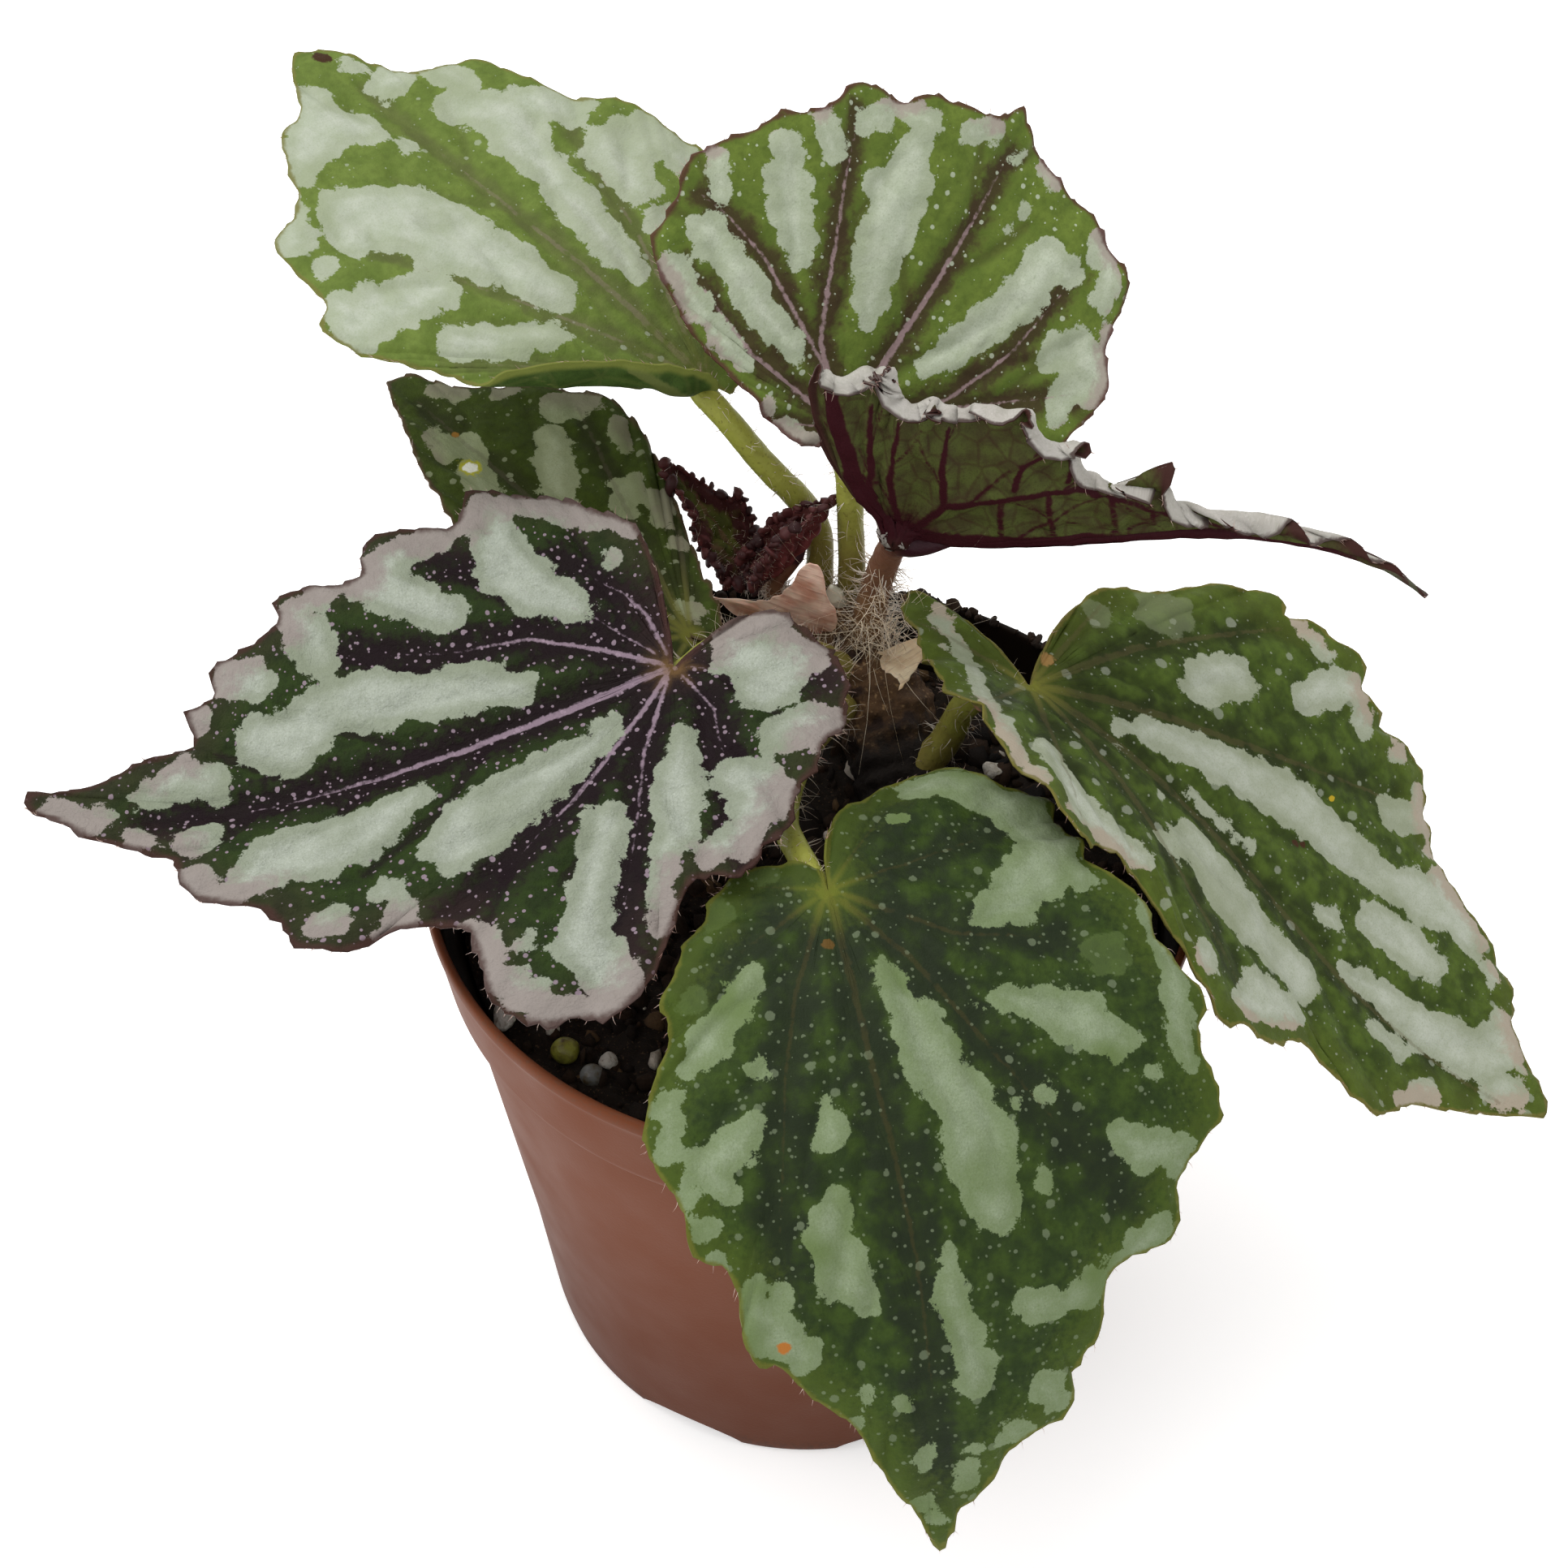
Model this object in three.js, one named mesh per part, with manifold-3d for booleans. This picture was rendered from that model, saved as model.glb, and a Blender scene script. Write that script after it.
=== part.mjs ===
// A small rex begonia in its nursery pot, in millimetres, +Z up.
// The origin is the centre of the pot's flat underside. -Y is the side that is looked at.
//
// A leaf is drawn in flat leaf coordinates: an angle from its midrib, positive to the leaf's left, and a
// distance from the point where the stalk meets the blade. The flat outline is then laid on a bent surface:
// the midrib climbs, droops and turns, and the two halves fold up or down from it and curl.

import * as THREE from 'three';
import { mergeVertices } from 'three/addons/utils/BufferGeometryUtils.js';
import Module from 'manifold-3d';

const wasm = await Module();
wasm.setup();

// ---------- driving dimensions ----------
const POT_HEIGHT = 92;
const POT_BASE_RADIUS = 39;
const POT_RIM_RADIUS = 52.5;
const POT_WALL = 1.3;
const RIM_BAND_HEIGHT = 10.5;
const RIM_BAND_STEP = 1.6; // how far the band stands out of the wall below it
const POT_FLOOR = 2;
const POT_SIDES = 48;
const FOOT_NOTCH = { count: 8, width: 12, height: 2.4, turn: 0.3 }; // turn of the first one, in radians
const FOOT_BEVEL = 1.5;
const DRAIN_HOLE = { count: 8, radius: 3.5, circle: 25 };

const SOIL_TOP = 82;
const SOIL_REACH = 44; // how far from the middle the uneven ground and its grains go
const SOIL_SWELL = { height: 0.5, x: 0.31, y: 0.27, shift: 1 }; // broad waves: height, and turns per mm
const SOIL_RIPPLE = { height: 0.35, x: 0.7, y: 0.5 };
const SEAT_GAP = 0.35; // between pieces that touch
const GRAINS = { count: 26, smallest: 0.8, largest: 2.1, seed: 7 };

const BLADE_THICKNESS = 0.9;
const BLADE_RINGS = [0.14, 0.35, 0.58, 0.8, 1];
const BLADE_SPOKES = 48;
const SMALL_BLADE_RINGS = [0.35, 0.7, 1];
const SMALL_BLADE_SPOKES = 24;
const RIB_DEPTH = 0.8; // how far a main vein stands out under the blade where it starts
const RIB_FADE = 1.15; // how fast a rib runs out towards the edge
const TOOTH = { share: 0.018, count: 22 }; // height as a share of the blade's reach, and teeth in a full turn
const STALK_SIDES = 8;
const STALK_STEPS = 3; // rings between two points of a stalk
const STALK_FOOT_ROOM = 1.15; // the ball of room round a stalk's foot, as a share of its radius
const SCALE_FOOT_ROOM = 2.6; // radius of the ball of room round a stipule's foot
const BED_END_ROOM = 1.1; // the ball at the soil bed's end, as a share of its radius

// ---------- colours ----------
const COLOURS = {
  pot: '#8f4d38',
  soil: '#1d1612',
  rhizome: '#5a3a22',
  green: '#3c5a2a',
  pale: '#9fb592',
  purple: '#4a2b35',
  young: '#4a1f22',
  pink: '#b98472',
  straw: '#b9ae97',
};

// ---------- the leaves ----------
// at: where the stalk meets the blade. heading and pitch: the midrib's direction in degrees at the blade's
// base, half way and at the tip. roll: turn about the midrib at the base and tip. fold: angle of the left and
// right half where they leave the midrib, at the base and at the tip. curl: degrees per mm added outwards.
// veins: angles of the main veins. wave: height of the margin's wave and how many there are.
// outline: [angle, radius] from one side of the notch at the stalk round the tip to the other side.
const LEAVES = {
  leaf_front: {
    colour: 'green',
    at: [2.2, -24.5, 109],
    heading: [-76, -74, -74],
    pitch: [-7, -47, -79],
    roll: [0, 0],
    fold: [[-2, -4], [-2, -4]],
    curl: [-0.3, -0.3],
    length: 88,
    wave: [0.6, 9],
    veins: [-95, -48, -22, 0, 30, 62, 105, 140],
    outline: [
      [-176, 4], [-143, 7], [-117, 12], [-97, 15], [-81, 19], [-66, 25], [-58, 28], [-49, 36], [-40, 42],
      [-31, 48], [-22, 55], [-14, 61], [-9, 68], [-4, 78], [0, 88], [3, 84], [8, 78], [11, 74], [16, 67],
      [22, 64], [33, 62], [46, 58], [54, 53], [64, 50], [73, 44], [84, 39], [96, 34], [113, 35], [127, 30],
      [138, 28], [148, 20], [159, 15], [172, 5],
    ],
    stalk: [[5, 27, 92], [-1, 10, 99], [-3.4, -8, 104.4], [-1.4, -17, 107.2], [2.2, -24.5, 109]],
    stalkRadius: [2.1, 1.7],
  },
  leaf_left: {
    colour: 'purple',
    at: [-18.3, 6.9, 117],
    heading: [203, 194, 172],
    pitch: [-9, -10, 6],
    roll: [-8, -6],
    fold: [[5, 14], [5, 14]],
    curl: [-0.35, -0.3],
    length: 86.3,
    wave: [0.7, 10],
    veins: [-70, -25, 0, 24, 50, 85, 130],
    outline: [
      [-106, 4], [-102, 16], [-91, 25], [-79, 31], [-67, 37], [-53, 41], [-43, 48], [-32, 55], [-20, 64],
      [-12, 67], [-7, 71], [-3, 79], [0, 87], [3, 79], [6, 71], [11, 66], [17, 60], [24, 57], [29, 52],
      [35, 44], [40, 46], [50, 51], [61, 51], [67, 46], [71, 32], [84, 33], [97, 29], [113, 25], [134, 24],
      [158, 21], [178, 17], [194, 13], [204, 4],
    ],
    stalk: [[4, 29, 96.5], [-5, 24, 106], [-12.6, 14.4, 113.8], [-18.3, 6.9, 117]],
    stalkRadius: [2.4, 1.9],
  },
  leaf_right: {
    colour: 'green',
    at: [29, 15.4, 106.5],
    heading: [-21, -28, -19],
    pitch: [-15, -39, -19],
    roll: [0, -4],
    fold: [[2, 24], [4, -6]],
    curl: [0.1, 0],
    length: 95,
    wave: [0.8, 9],
    veins: [-190, -95, -62, -28, 0, 30, 62, 82],
    outline: [
      [-218, 4], [-213, 18], [-204, 22], [-188, 17], [-161, 15], [-124, 15], [-103, 17], [-88, 22],
      [-74, 28], [-62, 32], [-50, 31], [-42, 37], [-34, 48], [-27, 54], [-20, 60], [-14, 69], [-8, 79],
      [-3, 87], [0, 95], [4, 92], [11, 87], [20, 76], [31, 67], [45, 56], [57, 48], [66, 39], [76, 27],
      [87, 18], [96, 4],
    ],
    stalk: [[14, 19, 85], [18.5, 19.5, 92], [21, 19, 99.5], [25, 17.2, 104.4], [29, 15.4, 106.5]],
    stalkRadius: [2.6, 1.9],
  },
  leaf_back_left: {
    colour: 'pale',
    at: [-15.8, 46, 133.6],
    heading: [142, 143, 134],
    pitch: [30, 16, 13],
    roll: [-4, -4],
    fold: [[6, 6], [6, 6]],
    curl: [-0.2, -0.2],
    length: 72.5,
    wave: [0.5, 8],
    veins: [-38, 0, 26, 50, 110],
    lobeLift: { from: 54, angle: 105, radius: 2 },
    outline: [
      [-150, 4], [-120, 6], [-95, 10], [-75, 18], [-60, 27], [-47, 36], [-36, 44], [-24, 50], [-17, 56],
      [-11, 62], [-4, 68], [0, 72.5], [5, 72], [10, 68], [15, 63], [22, 58], [30, 58], [38, 53], [45, 50],
      [50, 42], [54, 35], [60, 32], [68, 25], [80, 16], [95, 10], [116, 7], [140, 5], [165, 3],
    ],
    stalk: [[0.5, 40.4, 101], [-0.2, 43, 111.4], [-8, 43.4, 122.4], [-13.2, 44.4, 129.4], [-15.8, 46, 133.6]],
    stalkRadius: [2.0, 1.8],
  },
  leaf_back: {
    colour: 'pale',
    at: [3, 42.3, 129.1],
    heading: [46, 51, 64],
    pitch: [39, 36, 35],
    roll: [48, 48],
    fold: [[5, 5], [5, 5]],
    curl: [-0.1, -0.1],
    length: 49.5,
    wave: [0.6, 11],
    veins: [-60, -32, 0, 34, 68, 94],
    outline: [
      [-150, 4], [-120, 6], [-98, 9], [-82, 15], [-70, 24], [-60, 32], [-48, 39], [-35, 43], [-24, 46],
      [-11, 46], [0, 49.5], [8, 47], [19, 46], [33, 44], [46, 42], [59, 41], [71, 36], [81, 35], [88, 30],
      [93, 24], [100, 17], [110, 12], [138, 7], [164, 4],
    ],
    stalk: [[5.2, 38.4, 100], [4.8, 38.6, 112], [4, 40.4, 123], [3, 42.3, 129.1]],
    stalkRadius: [1.7, 1.5],
  },
  leaf_back_right: {
    colour: 'purple',
    at: [11.1, 30.7, 121],
    heading: [-13, -6, -20],
    pitch: [-3, 7, -34],
    roll: [0, 0],
    fold: [[60, 70], [72, 76]],
    curl: [0.7, 0.7],
    length: 76,
    wave: [0.9, 9],
    veins: [-132, -105, -70, -30, 0, 30, 80, 130],
    outline: [
      [-154, 5], [-147, 14], [-140, 26], [-133, 33], [-126, 34], [-114, 27], [-99, 29], [-88, 24], [-76, 27],
      [-60, 26], [-50, 29], [-36, 29], [-26, 30], [-18, 33], [-11, 37], [-7, 46], [-3, 61], [0, 76], [1, 66],
      [3, 53], [6, 41], [11, 32], [20, 25], [34, 21], [51, 18.5], [70, 16], [88, 15], [105, 16], [122, 20],
      [137, 25], [148, 14], [155, 5],
    ],
    stalk: [[7, 33.4, 99], [8.8, 33.6, 110], [10.4, 31.8, 117], [11.1, 30.7, 121]],
    stalkRadius: [2.5, 2.2],
  },
  leaf_left_rear: {
    colour: 'green',
    at: [-17.2, 23.7, 107],
    heading: [140, 136, 134],
    pitch: [13, 9, 4],
    roll: [0, 0],
    fold: [[4, 8], [4, 8]],
    curl: [-0.3, -0.2],
    length: 62.8,
    wave: [0.6, 9],
    veins: [-46, -20, 0, 24, 62, 110],
    outline: [
      [-160, 3], [-110, 5], [-80, 7], [-65, 9], [-48, 15], [-39, 25], [-33, 36], [-27, 45], [-21, 48],
      [-15, 51], [-10, 55], [-5, 59], [0, 62.8], [4, 57], [9, 50], [14, 42], [19, 36], [28, 31], [45, 26],
      [66, 22], [90, 18], [118, 14], [145, 9], [168, 4],
    ],
    stalk: [[-0.5, 35, 96], [-6, 33, 97.6], [-12.4, 28.4, 102.6], [-17.2, 23.7, 107]],
    stalkRadius: [1.8, 1.5],
  },
};

const YOUNG_LEAVES = {
  young_leaf_left: {
    colour: 'young',
    at: [-10.5, 42, 104.2],
    heading: [142, 142, 142],
    pitch: [44, 40, 30],
    roll: [0, 0],
    fold: [[8, 8], [22, 22]],
    curl: [0, 1],
    length: 17.5,
    wave: [0.4, 7],
    veins: [0],
    outline: [
      [-160, 2.5], [-120, 5.5], [-92, 8], [-66, 10.5], [-42, 13.5], [-22, 15.5], [-10, 16.5], [0, 17.5], [10, 14.5],
      [26, 10], [50, 6.5], [90, 4.5], [130, 3.5], [160, 2.5],
    ],
    stalk: [[-4.6, 40, 100.6], [-7.8, 41.2, 102.2], [-10.5, 42, 104.2]],
    stalkRadius: [1.4, 1.2],
  },
  young_leaf_right: {
    colour: 'young',
    at: [-6.6, 37.3, 106],
    heading: [16, 14, 10],
    pitch: [50, 54, 58],
    roll: [0, 0],
    fold: [[50, 50], [50, 50]],
    curl: [1, 1],
    length: 15,
    wave: [0.2, 5],
    veins: [0],
    outline: [
      [-140, 2.5], [-110, 4], [-85, 5], [-55, 6], [-25, 9.5], [0, 15], [25, 9.5], [55, 6], [85, 5], [110, 4],
      [140, 2.5],
    ],
    stalk: [[-4, 37, 101.2], [-5.9, 36.9, 103.4], [-6.6, 37.3, 106]],
    stalkRadius: [1.1, 1.1],
  },
};

const STIPULES = {
  stipule_pink: {
    colour: 'pink',
    at: [0.4, 32, 101],
    heading: [168, 168, 162],
    pitch: [14, 12, 6],
    roll: [72, 72],
    fold: [[0, 0], [0, 0]],
    curl: [2, 2],
    length: 14.5,
    wave: [0, 1],
    veins: [],
    outline: [[-150, 1.4], [-90, 1.6], [-20, 4], [0, 14.5], [16, 11], [42, 9.5], [76, 10.5], [104, 8.5], [150, 2]],
  },
  stipule_pale: {
    colour: 'straw',
    at: [8.6, 28.4, 97],
    heading: [20, 22, 26],
    pitch: [26, 24, 20],
    roll: [30, 30],
    fold: [[0, 0], [0, 0]],
    curl: [3, 3],
    length: 8.6,
    wave: [0, 1],
    veins: [],
    outline: [[-150, 2], [-95, 4.4], [-50, 5], [-20, 6.6], [0, 8.6], [16, 5], [50, 2.6], [95, 2], [150, 1.6]],
  },
};

// The creeping stem: points along its middle and its radius there.
const RHIZOME = {
  points: [[13, 12, 79], [12.5, 19, 83], [10.5, 26, 88], [7.5, 32, 93], [3.5, 36, 97.5], [-4, 38.6, 101]],
  radii: [4.2, 6, 6.8, 6.4, 5.2, 3.4],
  ringBulge: 0.5,
  bud: { points: [[3.4, 37, 100], [2.6, 36, 104], [2.1, 35.2, 106.6]], radii: [1.4, 1.5, 0.8] },
};

// ---------- small helpers ----------
const radians = THREE.MathUtils.degToRad;
const clamp = THREE.MathUtils.clamp;
const lerp = THREE.MathUtils.lerp;
const vector = (point) => new THREE.Vector3(...point);

// A value at the base, half way and at the tip, on a parabola; before the base it goes on straight.
function alongMidrib([base, middle, tip], fraction) {
  const slope = -3 * base + 4 * middle - tip;
  const bend = 2 * base - 4 * middle + 2 * tip;
  const f = Math.min(fraction, 1.15);
  return fraction < 0 ? base + slope * fraction : base + slope * f + bend * f * f;
}

// A smooth curve through [angle, radius] points, read at an angle.
function outlineRadius(outline, angle) {
  const last = outline.length - 1;
  let i = 0;
  while (i < last - 1 && outline[i + 1][0] < angle) i++;
  const [p0, p1, p2, p3] = [i - 1, i, i + 1, i + 2].map((k) => outline[clamp(k, 0, last)]);
  const f = clamp((angle - p1[0]) / (p2[0] - p1[0]), 0, 1);
  const slope1 = (p2[1] - p0[1]) / (p2[0] - p0[0] || 1);
  const slope2 = (p3[1] - p1[1]) / (p3[0] - p1[0] || 1);
  const width = p2[0] - p1[0];
  const blend = f * f * (3 - 2 * f);
  const start = p1[1] + slope1 * width * f;
  const end = p2[1] - slope2 * width * (1 - f);
  return start * (1 - blend) + end * blend;
}

function seededRandom(seed) {
  let state = seed;
  return () => {
    state = (state * 1664525 + 1013904223) % 4294967296;
    return state / 4294967296;
  };
}

// ---------- the bent leaf surface ----------
function direction(leaf, fraction) {
  const heading = radians(alongMidrib(leaf.heading, fraction));
  const pitch = radians(alongMidrib(leaf.pitch, fraction));
  const flat = Math.cos(pitch);
  return new THREE.Vector3(flat * Math.cos(heading), flat * Math.sin(heading), Math.sin(pitch));
}

// A point of the midrib at a distance from the stalk, found by walking there in short straight steps.
function midribPoint(leaf, distance) {
  const steps = 24;
  const step = distance / steps;
  const point = vector(leaf.at);
  for (let i = 0; i < steps; i++) {
    point.addScaledVector(direction(leaf, ((i + 0.5) * step) / leaf.length), step);
  }
  return point;
}

// The point of the middle surface at flat coordinates: along the midrib, across it, and off the surface.
function surfacePoint(leaf, along, across, off) {
  const fraction = clamp(along / leaf.length, 0, 1);
  const forward = direction(leaf, along / leaf.length);
  const heading = radians(alongMidrib(leaf.heading, along / leaf.length));
  const level = new THREE.Vector3(-Math.sin(heading), Math.cos(heading), 0);
  const up = new THREE.Vector3().crossVectors(forward, level);
  const roll = radians(lerp(leaf.roll[0], leaf.roll[1], fraction));
  const sideways = level.clone().multiplyScalar(Math.cos(roll)).addScaledVector(up, Math.sin(roll));
  const normal = up.clone().multiplyScalar(Math.cos(roll)).addScaledVector(level, -Math.sin(roll));

  const half = across < 0 ? 1 : 0;
  const start = radians(lerp(leaf.fold[0][half], leaf.fold[1][half], fraction));
  const curl = radians(leaf.curl[half]) || 1e-5;
  const reach = Math.abs(across);
  const end = start + curl * reach;
  const out = (Math.sin(end) - Math.sin(start)) / curl - off * Math.sin(end);
  const lift = (Math.cos(start) - Math.cos(end)) / curl + off * Math.cos(end);
  return midribPoint(leaf, along)
    .addScaledVector(sideways, Math.sign(across) * out)
    .addScaledVector(normal, lift);
}

// A basal lobe that is turned up along a line from the stalk: a round bend, then flat.
function liftLobe(lobe, along, across) {
  const line = radians(lobe.from);
  const out = [-Math.sin(line), Math.cos(line)];
  const u = along * out[0] + across * out[1];
  if (u <= 0 || across < 0) return [along, across, 0];
  const full = radians(lobe.angle);
  const bent = Math.min(u / lobe.radius, full);
  const rest = Math.max(u - full * lobe.radius, 0);
  const flat = lobe.radius * Math.sin(bent) + rest * Math.cos(full);
  const rise = lobe.radius * (1 - Math.cos(bent)) + rest * Math.sin(full);
  return [along + out[0] * (flat - u), across + out[1] * (flat - u), rise];
}

function bladePoint(leaf, angle, radius, part) {
  let along = radius * Math.cos(radians(angle));
  let across = radius * Math.sin(radians(angle));
  const [height, count] = leaf.wave;
  let off = height * part ** 3 * Math.sin(radians(angle * count));
  if (leaf.lobeLift) {
    const lifted = liftLobe(leaf.lobeLift, along, across);
    along = lifted[0];
    across = lifted[1];
    off += lifted[2];
  }
  return surfacePoint(leaf, along, across, off);
}

// ---------- building closed meshes ----------
function closedGeometry(points, faces) {
  const geometry = new THREE.BufferGeometry();
  geometry.setAttribute('position', new THREE.Float32BufferAttribute(points.flatMap((p) => p.toArray()), 3));
  geometry.setIndex(faces.flat());
  return geometry;
}

// The upper face is a fan of spokes and rings, and the lower face is the same fan moved down the normals.
function bladeGeometry(leaf, rings, spokes, grow = 0) {
  const first = leaf.outline[0][0];
  const last = leaf.outline[leaf.outline.length - 1][0];
  const top = [vector(leaf.at)];
  const ribs = [leaf.veins.length ? 1 : 0];
  for (let i = 0; i <= spokes; i++) {
    const angle = lerp(first, last, i / spokes);
    const edge = outlineRadius(leaf.outline, angle);
    const tooth = 1 + TOOTH.share * Math.cos(radians(angle * TOOTH.count));
    const step = (last - first) / spokes;
    const rib = leaf.veins.some((vein) => Math.abs(vein - angle) < step / 2);
    for (const part of rings) {
      top.push(bladePoint(leaf, angle, edge * tooth * part + grow * part, part));
      ribs.push(rib ? Math.max(1 - part * RIB_FADE, 0) : 0);
    }
  }
  const faces = [];
  const ringCount = rings.length;
  const at = (i, j) => 1 + i * ringCount + j;
  for (let i = 0; i < spokes; i++) {
    faces.push([0, at(i, 0), at(i + 1, 0)]);
    for (let j = 0; j < ringCount - 1; j++) {
      faces.push([at(i, j), at(i, j + 1), at(i + 1, j + 1)]);
      faces.push([at(i, j), at(i + 1, j + 1), at(i + 1, j)]);
    }
  }
  const normals = closedGeometry(top, faces);
  normals.computeVertexNormals();
  const normalOf = (k) => new THREE.Vector3().fromBufferAttribute(normals.attributes.normal, k);
  const half = BLADE_THICKNESS / 2 + grow;
  const upper = top.map((p, k) => p.clone().addScaledVector(normalOf(k), half));
  const lower = top.map((p, k) => p.clone().addScaledVector(normalOf(k), -half - ribs[k] * RIB_DEPTH));
  const count = top.length;
  const edge = [0];
  for (let j = 0; j < ringCount; j++) edge.push(at(0, j));
  for (let i = 1; i <= spokes; i++) edge.push(at(i, ringCount - 1));
  for (let j = ringCount - 2; j >= 0; j--) edge.push(at(spokes, j));
  const walls = edge.flatMap((a, k) => {
    const b = edge[(k + 1) % edge.length];
    return [[a, b + count, b], [a, a + count, b + count]];
  });
  const under = faces.map(([a, b, c]) => [a + count, c + count, b + count]);
  return closedGeometry([...upper, ...lower], [...faces, ...under, ...walls]);
}

// A tapering tube along a smooth curve, closed at both ends.
function tubeGeometry(points, radii, sides, steps, bulge = 0) {
  const curve = new THREE.CatmullRomCurve3(points.map(vector), false, 'centripetal');
  const frames = curve.computeFrenetFrames(steps, false);
  const rings = [];
  for (let i = 0; i <= steps; i++) {
    const f = i / steps;
    const centre = curve.getPointAt(f);
    const place = f * (radii.length - 1);
    const k = Math.min(Math.floor(place), radii.length - 2);
    const radius = lerp(radii[k], radii[k + 1], place - k) + bulge * (i % 2);
    for (let j = 0; j < sides; j++) {
      const turn = (2 * Math.PI * j) / sides;
      const spoke = frames.normals[i].clone().multiplyScalar(Math.cos(turn) * radius);
      rings.push(centre.clone().add(spoke).addScaledVector(frames.binormals[i], Math.sin(turn) * radius));
    }
  }
  const startCentre = rings.length;
  const points3 = [...rings, curve.getPointAt(0), curve.getPointAt(1)];
  const faces = [];
  for (let i = 0; i < steps; i++) {
    for (let j = 0; j < sides; j++) {
      const a = i * sides + j;
      const b = i * sides + ((j + 1) % sides);
      faces.push([a, b, b + sides], [a, b + sides, a + sides]);
    }
  }
  for (let j = 0; j < sides; j++) {
    const next = (j + 1) % sides;
    faces.push([startCentre, next, j]);
    faces.push([startCentre + 1, steps * sides + j, steps * sides + next]);
  }
  return closedGeometry(points3, faces);
}

// ---------- solids ----------
function toSolid(geometry) {
  let clean = geometry.index && !geometry.attributes.uv ? geometry : geometry.clone();
  clean.deleteAttribute('normal');
  clean.deleteAttribute('uv');
  clean = mergeVertices(clean, 1e-4);
  const mesh = new wasm.Mesh({
    numProp: 3,
    vertProperties: new Float32Array(clean.attributes.position.array),
    triVerts: new Uint32Array(clean.index.array),
  });
  return new wasm.Manifold(mesh);
}

function toGeometry(solid) {
  const mesh = solid.getMesh();
  const geometry = new THREE.BufferGeometry();
  geometry.setAttribute('position', new THREE.BufferAttribute(new Float32Array(mesh.vertProperties), 3));
  geometry.setIndex(new THREE.BufferAttribute(new Uint32Array(mesh.triVerts), 1));
  geometry.computeVertexNormals();
  return geometry;
}

// With a growth the stalk is the room it stands in, also past its foot.
function stalkSolid(leaf, grow = 0) {
  const radii = leaf.stalkRadius.map((radius) => radius + grow);
  const stalk = toSolid(tubeGeometry(leaf.stalk, radii, STALK_SIDES, (leaf.stalk.length - 1) * STALK_STEPS + 2));
  if (grow === 0) return stalk;
  const foot = new THREE.IcosahedronGeometry(radii[0] * STALK_FOOT_ROOM, 1).translate(...leaf.stalk[0]);
  return stalk.add(toSolid(foot));
}

// Joining a stalk to a blade can shut a crumb or a pocket in between them: only the largest body is kept.
function largestBody(solid) {
  return solid.decompose().reduce((best, body) => (body.volume() > best.volume() ? body : best));
}

function leafSolid(leaf, rings, spokes) {
  const blade = toSolid(bladeGeometry(leaf, rings, spokes));
  return largestBody(leaf.stalk ? blade.add(stalkSolid(leaf)) : blade);
}

// ---------- the pot ----------
function wallRadius(height) {
  const bodyTop = POT_RIM_RADIUS - RIM_BAND_STEP;
  return lerp(POT_BASE_RADIUS, bodyTop, height / POT_HEIGHT);
}

function potSolid() {
  const bandFoot = POT_HEIGHT - RIM_BAND_HEIGHT;
  const rimInside = POT_RIM_RADIUS - POT_WALL;
  const profile = [
    [0, 0], [POT_BASE_RADIUS - FOOT_BEVEL, 0], [POT_BASE_RADIUS, FOOT_BEVEL], [wallRadius(bandFoot), bandFoot],
    [POT_RIM_RADIUS - 0.7, bandFoot + 0.3], [POT_RIM_RADIUS - 0.1, POT_HEIGHT - 1.6],
    [POT_RIM_RADIUS, POT_HEIGHT - 0.4], [POT_RIM_RADIUS - 0.5, POT_HEIGHT], [rimInside, POT_HEIGHT - 0.2],
    [rimInside - 0.4, bandFoot + 1.4], [wallRadius(bandFoot) - POT_WALL, bandFoot + 0.6],
    [wallRadius(4) - POT_WALL, POT_FLOOR + 1.2], [wallRadius(4) - POT_WALL - 1.2, POT_FLOOR], [0, POT_FLOOR],
  ].map(([x, y]) => new THREE.Vector2(x, y));
  let pot = toSolid(new THREE.LatheGeometry(profile, POT_SIDES).rotateX(Math.PI / 2));
  for (let i = 0; i < DRAIN_HOLE.count; i++) {
    const turn = (2 * Math.PI * (i + 0.5)) / DRAIN_HOLE.count;
    const hole = new THREE.CylinderGeometry(DRAIN_HOLE.radius, DRAIN_HOLE.radius, 10, 12).rotateX(Math.PI / 2);
    hole.translate(DRAIN_HOLE.circle * Math.cos(turn), DRAIN_HOLE.circle * Math.sin(turn), 0);
    pot = pot.subtract(toSolid(hole));
  }
  for (let i = 0; i < FOOT_NOTCH.count; i++) {
    const arch = new THREE.CylinderGeometry(FOOT_NOTCH.width / 2, FOOT_NOTCH.width / 2, 6, 16);
    arch.rotateZ(Math.PI / 2).scale(1, 1, FOOT_NOTCH.height / (FOOT_NOTCH.width / 2));
    arch.translate(POT_BASE_RADIUS, 0, 0).rotateZ((2 * Math.PI * i) / FOOT_NOTCH.count + FOOT_NOTCH.turn);
    pot = pot.subtract(toSolid(arch));
  }
  return pot;
}

// ---------- soil ----------
function soilHeight(x, y) {
  const swell = SOIL_SWELL.height * Math.sin(x * SOIL_SWELL.x + SOIL_SWELL.shift) * Math.cos(y * SOIL_SWELL.y);
  return swell + SOIL_RIPPLE.height * Math.sin(x * SOIL_RIPPLE.x + y * SOIL_RIPPLE.y);
}

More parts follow.
